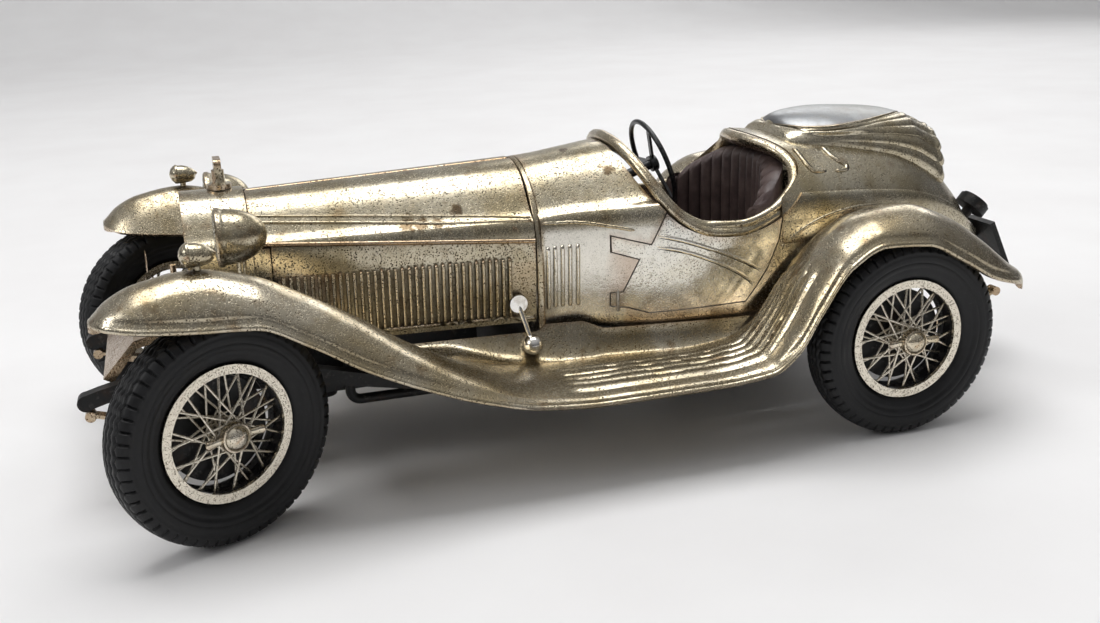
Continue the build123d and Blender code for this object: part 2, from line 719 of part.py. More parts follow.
wheel_pieces = {"tyre": tyre.part, "rim": rim.part, "spokes": spokes.part, "hub": hub.part}
for piece_name, piece in wheel_pieces.items():
    for side, side_name in ((-1, "left"), (1, "right")):
        outboard = piece if side < 0 else mirrored(piece)
        front = Pos(front_x, side * (kingpin_y + wheel_offset), hub_z) * outboard
        save(steered(front, side), f"{piece_name}_front_{side_name}")
        save(Pos(rear_x, side * half_track, hub_z) * outboard, f"{piece_name}_rear_{side_name}")

# ---------------------------------------------------------------- headlights, side lamps and horns
lamp_y = 21.5
lamp_z = 54.6
lamp_front_x = -68.6
lamp_radius = 6.6
with BuildPart() as headlight:
    with BuildSketch(Plane.XY):
        with BuildLine():
            bowl = Spline((0.0, lamp_radius - 0.9), (3.4, 5.0), (7.4, 2.8), (10.4, 0.0),
                          tangents=((1, -0.1), (0.4, -1)))
            Polyline(bowl @ 1, (8.4, 0), (1.6, 5.0), (-1.0, 5.0), (-1.0, lamp_radius - 0.3),
                     (-0.5, lamp_radius), (0.6, lamp_radius), (0.6, lamp_radius - 0.9), bowl @ 0)
        make_face()
    revolve(axis=Axis.X)
    with Locations((3.6, 0, -6.2)):
        Cylinder(0.9, 6.0)
with BuildPart() as headlight_stay:
    with Locations((lamp_front_x + 3.6, -lamp_y, (lamp_z - 9.0 + 28.0) / 2)):
        Cylinder(0.9, lamp_z - 9.0 - 28.0)
with BuildPart() as left_headlight:
    add(Pos(lamp_front_x, -lamp_y, lamp_z) * headlight.part)
    add(headlight_stay.part)
save(Compound(children=[left_headlight.part, mirrored(left_headlight.part)]), "headlights")

with BuildPart() as lens:
    with BuildSketch(Plane.XY):
        with BuildLine():
            glass = Spline((-0.9, 4.9), (-1.8, 0), tangents=((-0.35, -1), (0, -1)))
            Polyline(glass @ 1, (-0.2, 0), (-0.2, 4.9), glass @ 0)
        make_face()
    revolve(axis=Axis.X)
left_lens = Pos(lamp_front_x, -lamp_y, lamp_z) * lens.part
save(Compound(children=[left_lens, mirrored(left_lens)]), "headlight_lenses")

side_lamp_spot = (-73.0, -43.5, 56.9)
with BuildPart() as side_lamp:
    with BuildSketch(Plane.XY):
        with BuildLine():
            shell_curve = Spline((-1.8, 2.0), (0.6, 1.9), (3.2, 0), tangents=((1, 0.05), (0, -1)))
            Polyline(shell_curve @ 1, (-2.4, 0))
            ThreePointArc((-2.4, 0), (-2.2, 1.3), (-1.8, 2.0))
        make_face()
    revolve(axis=Axis.X)
    with Locations((0, 0, -1.7)):
        Cylinder(0.7, 2.2)
left_side_lamp = Pos(*side_lamp_spot) * side_lamp.part - wing_solid()
save(Compound(children=[left_side_lamp, mirrored(left_side_lamp)]), "side_lamps")

horn_spot = (-81.0, -12.0, 43.4)
with BuildPart() as horn:
    with BuildSketch(Plane.XY):
        with BuildLine():
            bell = Spline((-2.2, 2.9), (-1.0, 2.0), (2.0, 1.2), tangents=((0.2, -1), (1, -0.1)))
            back = ThreePointArc((2.0, 1.2), (4.6, 1.4), (5.6, 0))
            Polyline(back @ 1, (0.4, 0), (-1.9, 2.2), bell @ 0)
        make_face()
    revolve(axis=Axis.X)
    with Locations((3.4, 0, -3.8)):
        Cylinder(0.7, 5.2)
left_horn = Pos(*horn_spot) * horn.part
save(Compound(children=[left_horn, mirrored(left_horn)]), "horns")

# ---------------------------------------------------------------- front apron between the frame horns
apron_half = 18.6
apron_outline = [(-93.4, 27.4), (-86.8, 34.6), (-76.4, 37.2), (-76.4, 35.4), (-86.2, 33.0), (-91.6, 26.4)]
with BuildPart() as front_apron:
    with BuildSketch(Plane.XZ):
        with BuildLine():
            Polyline(*apron_outline, close=True)
        make_face()
    extrude(amount=apron_half, both=True)
save(front_apron.part, "front_apron")

# ---------------------------------------------------------------- engine and exhaust
engine_x = -34.0
engine_y = -3.0
head_z = 40.5
plug_count = 8
plug_pitch = 5.0
with BuildPart() as engine:
    with Locations((engine_x, engine_y, 28.5)):
        Box(42, 11, 17)
    with Locations((engine_x, engine_y, head_z)):
        Box(44, 9, 7)
        with GridLocations(plug_pitch, 1, plug_count, 1):
            Box(2.0, 12.0, 5.0)
    with Locations((engine_x, engine_y, head_z + 4.9)):
        Box(40, 5.0, 2.8)
    fillet(engine.edges().filter_by(Axis.X).group_by(Axis.Z)[-1], radius=1.0)
save(engine.part, "engine")

exhaust_y = -17.85
exhaust_z = 15.4
exhaust_x = -44.0
exhaust_port_y = -9.2
exhaust_port_z = 25.4
exhaust_end_x = 96.0
pipe_radius = 1.1
silencer_radius = 1.75
silencer_length = 34.0
exhaust_bend = 2.2
bend_middle = exhaust_bend * (1 - cos(radians(45)))
with BuildPart() as exhaust:
    with BuildLine() as exhaust_path:
        port = Line((exhaust_x, exhaust_port_y, exhaust_port_z),
                    (exhaust_x, exhaust_y + exhaust_bend, exhaust_port_z))
        elbow = ThreePointArc(port @ 1,
                              (exhaust_x, exhaust_y + bend_middle, exhaust_port_z - bend_middle),
                              (exhaust_x, exhaust_y, exhaust_port_z - exhaust_bend))
        down = Line(elbow @ 1, (exhaust_x, exhaust_y, exhaust_z + exhaust_bend))
        heel = ThreePointArc(down @ 1, (exhaust_x + bend_middle, exhaust_y, exhaust_z + bend_middle),
                             (exhaust_x + exhaust_bend, exhaust_y, exhaust_z))
        Line(heel @ 1, (exhaust_end_x, exhaust_y, exhaust_z))
    with BuildSketch(Plane(origin=exhaust_path.line @ 0, z_dir=exhaust_path.line % 0)):
        Circle(pipe_radius)
    sweep(path=exhaust_path.line)
    with Locations(Location((6, exhaust_y, exhaust_z), (0, 90, 0))):
        Cylinder(silencer_radius, silencer_length)
save(exhaust.part, "exhaust")

# ---------------------------------------------------------------- cockpit: dashboard, seat and squab
with BuildPart() as dashboard:
    add(hull(body_stations, grow=-skin - 0.3, start=1.6, end=117.8))
    with Locations((25.4, 0, 50.5)):
        Box(1.8, 80, 15, mode=Mode.INTERSECT)
    with Locations(column_plane):
        Cylinder(1.7, 120, mode=Mode.SUBTRACT)
    add(side_prism(opening_face(coaming_width)), mode=Mode.SUBTRACT)
save(dashboard.part, "dashboard")

with BuildPart() as seat_cushion:
    with Locations((48.0, 0, 29.0)):
        Box(18, 40, 10)
    fillet(seat_cushion.edges(), radius=2.5)
save(seat_cushion.part, "seat_cushion")

with BuildPart() as seat_back:
    add(hull(body_stations, grow=-skin - 0.4))
    with BuildSketch(Plane.XY.offset(34.5)):
        with BuildLine():
            front = ThreePointArc((48.0, -24.5), (60.8, 0), (48.0, 24.5))
            Polyline(front @ 1, (52.0, 30.0), (65.2, 30.0), (65.2, -30.0), (52.0, -30.0), front @ 0)
        make_face()
    extrude(amount=24.5, mode=Mode.INTERSECT)
    add(side_prism(opening_face(coaming_width + 0.3)), mode=Mode.SUBTRACT)
save(seat_back.part, "seat_back")

# ---------------------------------------------------------------- folded hood on the rear deck
hood_stations = [
    (62.5, 14.6, 66.0, 57.0, 40.0),
    (67.0, 15.8, 67.7, 57.0, 40.0),
    (76.0, 16.6, 68.5, 56.0, 40.0),
    (88.0, 16.8, 67.9, 53.0, 40.0),
    (98.0, 16.2, 66.4, 49.0, 40.0),
    (104.0, 15.2, 64.0, 46.0, 38.0),
    (108.6, 13.8, 60.6, 44.0, 36.0),
]
with BuildPart() as folded_hood:
    add(hull(hood_stations))
    add(hull(body_stations, grow=0.15, end=125), mode=Mode.SUBTRACT)
    add(side_prism(opening_face(coaming_width)), mode=Mode.SUBTRACT)
    with Locations((60, 0, 60)):
        Box(11.4, 90, 60, mode=Mode.SUBTRACT)
save(folded_hood.part.solids().sort_by(SortBy.VOLUME)[-1], "folded_hood")

# ---------------------------------------------------------------- tail lamp and number plate
plate_half = 12.0
plate_top = (122.6, 36.6)
plate_foot = (128.2, 24.8)
with BuildPart() as number_plate:
    with BuildSketch(Plane.XZ):
        with BuildLine():
            Polyline(plate_top, plate_foot, (plate_foot[0] + 1.3, plate_foot[1] + 0.6),
                     (plate_top[0] + 1.3, plate_top[1] + 0.6), close=True)
        make_face()
    extrude(amount=plate_half, both=True)
save(number_plate.part, "number_plate")

with BuildPart() as plate_bracket:
    with BuildSketch(Plane.XZ):
        with BuildLine():
            Polyline((113.5, 30.2), (122.0, 33.5), plate_top, (125.0, 31.5), (118.5, 29.2), close=True)
        make_face()
    extrude(amount=4.0, both=True)
    add(hull(body_stations, grow=0.1, end=119.2), mode=Mode.SUBTRACT)
save(plate_bracket.part.solids().sort_by(SortBy.VOLUME)[-1], "plate_bracket")

tail_lamp_frame = Plane(origin=(119.6, -8.0, 41.4), z_dir=(0.66, 0, 0.75))
with BuildPart() as tail_lamp:
    with Locations(tail_lamp_frame):
        Cylinder(4.0, 2.4)
        with Locations((0, 0, 1.2)):
            Cylinder(3.5, 1.0)
        with Locations((0, 0, -4.0)):
            Cylinder(1.3, 6.0)
    add(hull(body_stations, grow=0.1, end=119.2), mode=Mode.SUBTRACT)
save(tail_lamp.part.solids().sort_by(SortBy.VOLUME)[-1], "tail_lamp")
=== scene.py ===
"""Looks of the diecast collector car: a tarnished silver-plated two-seater on a pale table.

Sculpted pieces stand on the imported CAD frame.  Lengths below are in millimetres and become metres
when a mesh is made.  The nose points to -X and the car's left side is -Y.
"""

import json
import math

import bmesh
import bpy
import numpy as np
from mathutils import Matrix, Vector
from mathutils.bvhtree import BVHTree


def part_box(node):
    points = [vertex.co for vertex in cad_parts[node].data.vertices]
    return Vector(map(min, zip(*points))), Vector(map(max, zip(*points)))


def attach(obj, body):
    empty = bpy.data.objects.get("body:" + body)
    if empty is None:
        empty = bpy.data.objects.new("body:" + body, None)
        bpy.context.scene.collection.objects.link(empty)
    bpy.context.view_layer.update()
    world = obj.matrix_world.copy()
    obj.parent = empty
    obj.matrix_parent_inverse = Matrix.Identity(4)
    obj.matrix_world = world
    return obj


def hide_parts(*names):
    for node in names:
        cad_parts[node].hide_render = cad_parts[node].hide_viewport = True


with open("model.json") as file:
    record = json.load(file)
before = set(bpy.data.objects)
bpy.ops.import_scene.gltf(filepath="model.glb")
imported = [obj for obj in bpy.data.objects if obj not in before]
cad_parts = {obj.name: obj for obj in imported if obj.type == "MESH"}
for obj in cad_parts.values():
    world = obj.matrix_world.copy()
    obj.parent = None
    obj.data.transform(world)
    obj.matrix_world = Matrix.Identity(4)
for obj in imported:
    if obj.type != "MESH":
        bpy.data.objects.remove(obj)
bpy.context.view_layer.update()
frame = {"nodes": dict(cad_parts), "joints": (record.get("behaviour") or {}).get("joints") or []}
nodes = frame["nodes"]

MM = 0.001
SIDES = {"left": -1, "right": 1}
CORNERS = [f"{end}_{side_name}" for end in ("front", "rear") for side_name in SIDES]


# ---- node-material helpers


class NodeTree:
    """Short names for the nodes that the materials and the room are made of."""

    def __init__(self, owner):
        owner.use_nodes = True
        self.tree = owner.node_tree
        self.tree.nodes.clear()

    def put(self, socket, value):
        """Drive an input by a plain value, a colour or another node's output."""
        if isinstance(value, bpy.types.NodeSocket):
            self.tree.links.new(value, socket)
        elif socket.type == "RGBA":
            socket.default_value = (*value, 1.0)
        else:
            socket.default_value = value

    def node(self, kind, output, inputs, **settings):
        """One output of a new node with the given settings and inputs."""
        made = self.tree.nodes.new(f"ShaderNode{kind}")
        for setting, value in settings.items():
            setattr(made, setting, value)
        for key, value in inputs.items():
            self.put(made.inputs[key], value)
        return made.outputs[output]

    def remap(self, value, low, high, out_low=0.0, out_high=1.0):
        """Value stretched from low..high to out_low..out_high and clamped."""
        return self.node("MapRange", "Result", {"Value": value, "From Min": low, "From Max": high,
                                                "To Min": out_low, "To Max": out_high})

    def arithmetic(self, operation, a, b):
        """One arithmetic step between two values or outputs."""
        return self.node("Math", "Value", {0: a, 1: b}, operation=operation)

    def product(self, first, *others):
        """Product of several values or outputs."""
        for other in others:
            first = self.arithmetic("MULTIPLY", first, other)
        return first


class Surface(NodeTree):
    """A node material on a Principled shader, patterned in object coordinates."""

    def __init__(self, name, metallic=0.0):
        self.material = bpy.data.materials.new(name)
        super().__init__(self.material)
        self.shader = self.tree.nodes.new("ShaderNodeBsdfPrincipled")
        output = self.tree.nodes.new("ShaderNodeOutputMaterial")
        self.tree.links.new(self.shader.outputs["BSDF"], output.inputs["Surface"])
        self.coords = self.node("TexCoord", "Object", {})
        self.drive("Metallic", metallic)

    def drive(self, name, value):
        """Set or link one input of the shader."""
        self.put(self.shader.inputs[name], value)

    def noise(self, size_mm, detail=3.0, roughness=0.55, distortion=0.0):
        """Noise value between about 0.3 and 0.7, with features about size_mm across."""
        return self.node("TexNoise", "Fac", {"Vector": self.coords, "Scale": 1 / (size_mm * MM),
                                             "Detail": detail, "Roughness": roughness,
                                             "Distortion": distortion})

    def cells(self, size_mm):
        """Distance to the nearest scattered point, 0 at the point, in cells size_mm across."""
        return self.node("TexVoronoi", "Distance", {"Vector": self.coords, "Scale": 1 / (size_mm * MM)})

    def axis(self, letter):
        """The X, Y or Z place on the object, in metres."""
        return self.node("SeparateXYZ", letter, {"Vector": self.coords})

    def mix(self, factor, a, b):
        """Mix of two colours or colour outputs."""
        return self.node("Mix", "Result", {"Factor": factor, "A": a, "B": b}, data_type="RGBA")

    def bump(self, height, depth_mm):
        """Raise the surface by height times depth_mm, on top of any bump already there."""
        inputs = {"Height": height, "Distance": depth_mm * MM}
        if self.shader.inputs["Normal"].is_linked:
            inputs["Normal"] = self.shader.inputs["Normal"].links[0].from_socket
        self.drive("Normal", self.node("Bump", "Normal", inputs))

    def worn_edges(self):
        """1 along the sharp outer edges, where plating rubs through."""
        return self.remap(self.node("NewGeometry", "Pointiness", {}), 0.53, 0.62)

    def hollow_shade(self, size_mm):
        """1 deep in the corners: an occlusion mask that paints shade into the colour."""
        occlusion = self.node("AmbientOcclusion", "AO", {"Distance": size_mm * MM}, samples=4)
        return self.remap(occlusion, 0.75, 0.25)

    def spot(self, place_mm, reach_mm):
        """1 at a place on the car and 0 beyond reach, with a ragged edge."""
        centre = tuple(value * MM for value in place_mm)
        away = self.node("VectorMath", "Value", {0: self.coords, 1: centre}, operation="DISTANCE")
        ragged = self.product(self.remap(self.noise(1.6, detail=4.0), 0.3, 0.7, 0.55, 1.45), away)
        return self.remap(ragged, reach_mm * MM, reach_mm * 0.55 * MM)


# ---- materials


def tarnished_silver(name, bright, tarnish, tarnish_share, pitting, rough, warm_patches=0.5, stains=(),
                     polish_and_reflection_box=None):
    """Old silver plate over diecast: yellowed and speckled, and darker in the hollows, where tarnish stays
    and shade is painted in.

    stains lists brown spots as (place, reach).  The box argument (x low, x high, z low, z high) marks
    cleaner, whiter metal on the flanks: real polish, with the pale table's reflection painted into the
    colour.
    """
    skin = Surface(name, metallic=1.0)
    hollow_tarnish_and_shade = skin.hollow_shade(2.5)
    mottle = skin.noise(2.4, detail=6.0, roughness=0.7)
    specks = skin.product(skin.remap(skin.cells(0.62), 0.30, 0.16), skin.remap(skin.noise(9.0), 0.36, 0.52))
    dots = skin.product(skin.remap(skin.cells(0.34), 0.20, 0.09), skin.remap(skin.noise(3.2), 0.45, 0.60))
    pinholes = skin.remap(skin.noise(0.34, detail=2.0, roughness=0.6), 0.60, 0.70)
    pits = skin.arithmetic("MAXIMUM", skin.arithmetic("MAXIMUM", specks, dots), pinholes)
    pits = skin.product(pits, pitting)

    cloud = skin.noise(14.0, detail=5.0, distortion=0.4)
    base = skin.mix(skin.remap(cloud, 0.36, 0.66), bright, tarnish)
    base = skin.mix(skin.remap(mottle, 0.50, 0.74, 0.0, tarnish_share), base, (0.30, 0.225, 0.12))
    brown = skin.product(skin.remap(skin.noise(6.0, detail=6.0), 0.60, 0.70), warm_patches)
    base = skin.mix(brown, base, (0.20, 0.115, 0.045))
    # Whiter metal on the flanks: real polish, with painted reflection of the pale table.
    if polish_and_reflection_box:
        x, z = skin.axis("X"), skin.axis("Z")
        low_x, high_x, low_z, high_z = (value * MM for value in polish_and_reflection_box)
        polish_and_reflection = skin.product(skin.remap(x, low_x, low_x + 0.8 * MM),
                              skin.remap(x, high_x + 2 * MM, high_x - 2 * MM),
                              skin.remap(z, low_z - 0.6 * MM, low_z + 1.2 * MM),
                              skin.remap(z, high_z + 0.8 * MM, high_z - 0.8 * MM), 0.85)
        base = skin.mix(polish_and_reflection, base, (0.88, 0.85, 0.77))
        pits = skin.product(pits, skin.arithmetic("SUBTRACT", 1.0, polish_and_reflection))
    base = skin.mix(pits, base, (0.035, 0.024, 0.013))
    for place_mm, reach_mm in stains:
        base = skin.mix(skin.product(skin.spot(place_mm, reach_mm), 0.85), base, (0.10, 0.060, 0.026))
    base = skin.mix(skin.product(skin.worn_edges(), 0.45), base, (0.42, 0.23, 0.12))
    # Hollows darkened to near black: tarnish that stays there, and painted shade.
    base = skin.mix(skin.product(hollow_tarnish_and_shade, 0.72), base, (0.055, 0.042, 0.028))
    skin.drive("Base Color", base)

    dull = skin.remap(mottle, 0.35, 0.75, rough, rough + 0.16)
    dull = skin.arithmetic("ADD", dull, skin.product(pits, 0.35))
    skin.drive("Roughness", skin.arithmetic("ADD", dull, skin.product(hollow_tarnish_and_shade, 0.25)))
    skin.bump(skin.noise(7.0, detail=2.0), 0.035)
    skin.bump(mottle, 0.035)
    skin.bump(skin.arithmetic("SUBTRACT", 1.0, pits), 0.05)
    return skin.material


def chrome(name):
    """Bright plated fitting with faint handling haze."""
    skin = Surface(name, metallic=1.0)
    haze = skin.noise(1.8, detail=4.0)
    base = skin.mix(skin.remap(haze, 0.5, 0.75), (0.90, 0.88, 0.84), (0.62, 0.56, 0.46))
    # Painted shade: the colour darkens deep in the corners.
    skin.drive("Base Color", skin.mix(skin.product(skin.hollow_shade(1.2), 0.7), base, (0.08, 0.06, 0.045)))
    skin.drive("Roughness", skin.remap(haze, 0.4, 0.7, 0.09, 0.24))
    skin.bump(skin.noise(0.9), 0.02)
    return skin.material


def pitted_rim(name):
    """Corroded plated wheel rim: pale metal eaten by many dark pinholes."""
    skin = Surface(name, metallic=1.0)
    holes = skin.remap(skin.noise(0.28, detail=5.0, roughness=0.65), 0.55, 0.66, 0.0, 0.8)
    base = skin.mix(holes, (0.80, 0.74, 0.62), (0.20, 0.12, 0.07))
    # Painted shade: the colour darkens deep in the corners.
    skin.drive("Base Color", skin.mix(skin.product(skin.hollow_shade(1.5), 0.5), base, (0.05, 0.04, 0.03)))
    skin.drive("Roughness", skin.remap(holes, 0.0, 1.0, 0.24, 0.62))
    skin.bump(skin.arithmetic("SUBTRACT", 1.0, holes), 0.05)
    return skin.material


def rubber(name):
    """Black tyre rubber with a dry grey bloom and dust caught in the tread."""
    skin = Surface(name)
    bloom = skin.remap(skin.noise(5.0, detail=5.0), 0.40, 0.72)
    base = skin.mix(bloom, (0.0035, 0.0035, 0.004), (0.012, 0.0125, 0.014))
    dust = skin.remap(skin.noise(0.5, detail=4.0), 0.62, 0.76, 0.0, 0.12)
    skin.drive("Base Color", skin.mix(dust, base, (0.10, 0.10, 0.10)))
    skin.drive("Roughness", skin.remap(bloom, 0.0, 1.0, 0.42, 0.62))
    skin.drive("Specular IOR Level", 0.36)
    skin.bump(skin.noise(0.35), 0.02)
    return skin.material


def black_metal(name, base_tone=0.018, rust=0.25):
    """Black painted chassis metal with grey scuffs and a little brown."""
    skin = Surface(name, metallic=0.55)
    scuff = skin.noise(1.6, detail=6.0, roughness=0.7)
    base = skin.mix(skin.remap(scuff, 0.55, 0.75), (base_tone,) * 3, (0.12, 0.115, 0.11))
    brown = skin.remap(skin.noise(4.0, detail=5.0), 0.55, 0.7, 0.0, rust)
    skin.drive("Base Color", skin.mix(brown, base, (0.10, 0.05, 0.025)))
    skin.drive("Roughness", skin.remap(scuff, 0.3, 0.7, 0.34, 0.6))
    skin.bump(scuff, 0.03)
    return skin.material


def steel(name):
    """Plain turned steel with fine machining haze and spots of oil."""
    skin = Surface(name, metallic=1.0)
    haze = skin.noise(1.1, detail=5.0)
    skin.drive("Base Color", skin.mix(skin.remap(haze, 0.45, 0.7), (0.46, 0.44, 0.41), (0.22, 0.19, 0.15)))
    skin.drive("Roughness", skin.remap(haze, 0.3, 0.7, 0.26, 0.48))
    skin.bump(haze, 0.02)
    return skin.material


def black_plastic(name):
    """Moulded black plastic, slightly orange-peeled and scratched."""
    skin = Surface(name)
    peel = skin.noise(0.8)
    tone = skin.remap(peel, 0.5, 0.75)
    skin.drive("Base Color", skin.mix(tone, (0.010, 0.010, 0.011), (0.040, 0.040, 0.042)))
    skin.drive("Roughness", skin.remap(peel, 0.3, 0.7, 0.22, 0.42))
    skin.bump(peel, 0.025)
    return skin.material


def aged_vinyl(name):
    """Dark purple-brown seat covering with a leathery grain, with painted shade darkening it between its
    pleats.
    """
    skin = Surface(name)
    tone = skin.remap(skin.noise(4.0, detail=4.0), 0.38, 0.66)
    base = skin.mix(tone, (0.060, 0.038, 0.036), (0.105, 0.072, 0.064))
    # Painted shade: nearly black deep between the pleats.
    skin.drive("Base Color", skin.mix(skin.product(skin.hollow_shade(1.6), 0.85), base, (0.010, 0.007, 0.007)))
    grain = skin.cells(0.42)
    skin.drive("Roughness", skin.remap(grain, 0.1, 0.8, 0.36, 0.55))
    skin.bump(grain, 0.035)
    return skin.material


def clear_lens(name):
    """Clear plastic lens, a little yellowed, with moulded flutes."""
    skin = Surface(name)
    tint = skin.mix(skin.remap(skin.noise(3.0), 0.4, 0.7), (0.95, 0.93, 0.86), (0.78, 0.72, 0.55))
    skin.drive("Base Color", tint)
    skin.drive("Transmission Weight", 0.85)
    skin.drive("IOR", 1.49)
    skin.drive("Roughness", 0.08)
    skin.bump(skin.node("TexWave", "Fac", {"Vector": skin.coords, "Scale": 260.0}, bands_direction="Y"), 0.05)
    return skin.material


plate = tarnished_silver("tarnished_plate", (0.62, 0.565, 0.44), (0.44, 0.37, 0.235), 0.55, 0.95, 0.16)
# The body's flank box is whiter: polish, and painted reflection of the table.
body_plate = tarnished_silver("body_plate", (0.64, 0.585, 0.46), (0.46, 0.39, 0.25), 0.50, 0.95, 0.15,
                              stains=(((3.7, -13.3, 60.1), 1.7), ((-3.5, -3.0, 63.6), 1.3),
                                      ((4.6, -2.0, 64.6), 1.2)),
                              polish_and_reflection_box=(-14.0, 38.0, 27.4, 48.6))
bonnet_plate = tarnished_silver("bonnet_plate", (0.62, 0.565, 0.44), (0.44, 0.37, 0.235), 0.5, 1.0, 0.15,
                                stains=(((-43.0, -15.0, 52.6), 2.6), ((-40.0, -15.2, 52.0), 2.4),
                                        ((-36.6, -15.4, 51.8), 1.8), ((-31.5, -14.1, 54.6), 1.6)))
wing_plate = tarnished_silver("wing_plate", (0.60, 0.54, 0.42), (0.42, 0.345, 0.215), 0.6, 1.0, 0.16,
                              warm_patches=0.6, stains=(((54.2, -40.0, 50.6), 2.0),))
# Door plate: smoother real polish, with the pale table's reflection painted in as whiter colour.
bright_plate = tarnished_silver("polished_plate_painted_reflection", (0.88, 0.86, 0.79), (0.78, 0.73, 0.60), 0.20, 0.45, 0.08,
                                warm_patches=0.15)
hub_plate = tarnished_silver("hub_plate", (0.86, 0.80, 0.68), (0.66, 0.57, 0.40), 0.5, 0.7, 0.14,
                             warm_patches=0.2)
panel_plate = tarnished_silver("hood_panel_plate", (0.30, 0.31, 0.32), (0.26, 0.26, 0.25), 0.18, 0.30, 0.30,
                               warm_patches=0.1)
chrome_plate = chrome("bright_chrome")
rim_plate = pitted_rim("pitted_rim")
tyre_rubber = rubber("tyre_rubber")
dark_metal = black_metal("black_chassis_metal")
# Dark metal used only for strips of painted shade beside creases and straps.
painted_shade_black = black_metal("painted_shade_dark_metal", 0.02, 0.5)
bare_steel = steel("bare_steel")
plastic = black_plastic("black_plastic")
vinyl = aged_vinyl("seat_vinyl")
lens_glass = clear_lens("clear_lens")

node_materials = {
    body_plate: ["body_shell"],
    bonnet_plate: [f"bonnet_{part}_{side_name}" for part in ("top", "side") for side_name in SIDES],
    wing_plate: ["wing_left", "wing_right"],
    plate: ["coaming", "leaf_springs", "bonnet_hinge", "radiator_shell", "headlights", "side_lamps", "horns",
            "front_apron", "folded_hood", "radiator_cap"],
    bright_plate: ["door_left", "door_right"],
    chrome_plate: ["bonnet_catch_left", "bonnet_catch_right"] + [f"hub_{corner}" for corner in CORNERS],
    rim_plate: [f"{part}_{corner}" for part in ("rim", "spokes") for corner in CORNERS],
    tyre_rubber: [f"tyre_{corner}" for corner in CORNERS],
    dark_metal: ["knuckle_left", "knuckle_right", "chassis_base", "front_axle", "axle_housing", "exhaust",
                 "plate_bracket", "radiator_core", "engine", "number_plate", "tail_lamp"],
    bare_steel: ["kingpins", "track_rod", "rear_axle", "door_hinge_pins"],
    plastic: ["steering_wheel", "steering_column", "dashboard"],
    vinyl: ["seat_back", "seat_cushion"],
    lens_glass: ["headlight_lenses"],
}
for material, names in node_materials.items():
    for name in names:
        nodes[name].data.materials.clear()
        nodes[name].data.materials.append(material)


# ---- places taken from the frame

joints = {joint["name"]: joint for joint in frame["joints"]}
front_x = joints["steer_left"]["pos_m"][0] / MM
rear_x = joints["rear_axle_spin"]["pos_m"][0] / MM
middle_x = (front_x + rear_x) / 2      # the drawings below are measured from mid-wheelbase


def to_frame(points):
    """Drawing points in millimetres, moved to the CAD frame in metres."""
    moved = np.array(points, float)
    moved[..., 0] += middle_x
    return moved * MM


def to_drawing(points):
    """CAD frame points in metres, as drawing points in millimetres."""
    moved = np.array(points, float) / MM
    moved[..., 0] -= middle_x
    return moved


# ---- mesh helpers


def smooth_through(stations):
    """A function of the first column that runs smoothly, and without overshoot, through all rows."""
    table = np.array(stations, float)
    keys, values = table[:, 0], table[:, 1:]
    step = np.diff(keys)[:, None]
    slope = np.diff(values, axis=0) / step
    tangent = np.zeros_like(values)
    tangent[0], tangent[-1] = slope[0], slope[-1]
    before, after = slope[:-1], slope[1:]
    same = before * after > 0
    weight_1, weight_2 = 2 * step[1:] + step[:-1], step[1:] + 2 * step[:-1]
    with np.errstate(divide="ignore", invalid="ignore"):
        harmonic = (weight_1 + weight_2) / (weight_1 / before + weight_2 / after)
    tangent[1:-1] = np.where(same, harmonic, 0.0)

    def at(wanted):
        wanted = np.clip(np.atleast_1d(np.array(wanted, float)), keys[0], keys[-1])
        index = np.clip(np.searchsorted(keys, wanted) - 1, 0, len(keys) - 2)
        h = step[index]
        t = ((wanted - keys[index])[:, None]) / h
        return ((1 + 2 * t) * (1 - t) ** 2 * values[index] + t * (1 - t) ** 2 * h * tangent[index]
                + t * t * (3 - 2 * t) * values[index + 1] + t * t * (t - 1) * h * tangent[index + 1])

    return at


def smoothstep(value, low, high):
    """0 below low, 1 above high, and an S-shaped rise between."""
    t = np.clip((np.array(value, float) - low) / (high - low), 0, 1)
    return t * t * (3 - 2 * t)


def band(value, rise_start, rise_end, fall_start, fall_end):
    """0 outside a band, 1 inside it, with S-shaped sides."""
    return smoothstep(value, rise_start, rise_end) * (1 - smoothstep(value, fall_start, fall_end))


def curve_through(points, count):
    """Evenly spaced points along a smooth curve through the given ones."""
    points = np.array(points, float)
    keys = np.concatenate([[0], np.cumsum(np.linalg.norm(np.diff(points, axis=0), axis=1))])
    dense = smooth_through(np.column_stack([keys, points]))(np.linspace(0, keys[-1], count * 8))
    return respace(dense, count)


def respace(points, count):
    """The same polyline with evenly spaced points."""
    run = np.concatenate([[0], np.cumsum(np.linalg.norm(np.diff(points, axis=0), axis=1))])
    wanted = np.linspace(0, run[-1], count)
    return np.column_stack([np.interp(wanted, run, points[:, axis]) for axis in range(points.shape[1])])


def grid_faces(rows, columns, close_rows=False, close_columns=False, start=0):
    """Quads of a grid of vertices stored row by row."""
    faces = []
    for row in range(rows if close_rows else rows - 1):
        for column in range(columns if close_columns else columns - 1):
            next_row, next_column = (row + 1) % rows, (column + 1) % columns
            faces.append((start + row * columns + column, start + row * columns + next_column,
                          start + next_row * columns + next_column, start + next_row * columns + column))
    return faces


def capped_tube(rings, size, start=0):
    """Faces of a tube of rings of equal size, with its two ends closed."""
    faces = grid_faces(rings, size, close_columns=True, start=start)
    last = start + (rings - 1) * size
    return faces + [tuple(range(start, start + size)), tuple(range(last, last + size))[::-1]]


def unit_rows(vectors):
    """The same vectors with length one along the last axis."""
    return vectors / np.maximum(np.linalg.norm(vectors, axis=-1), 1e-9)[..., None]


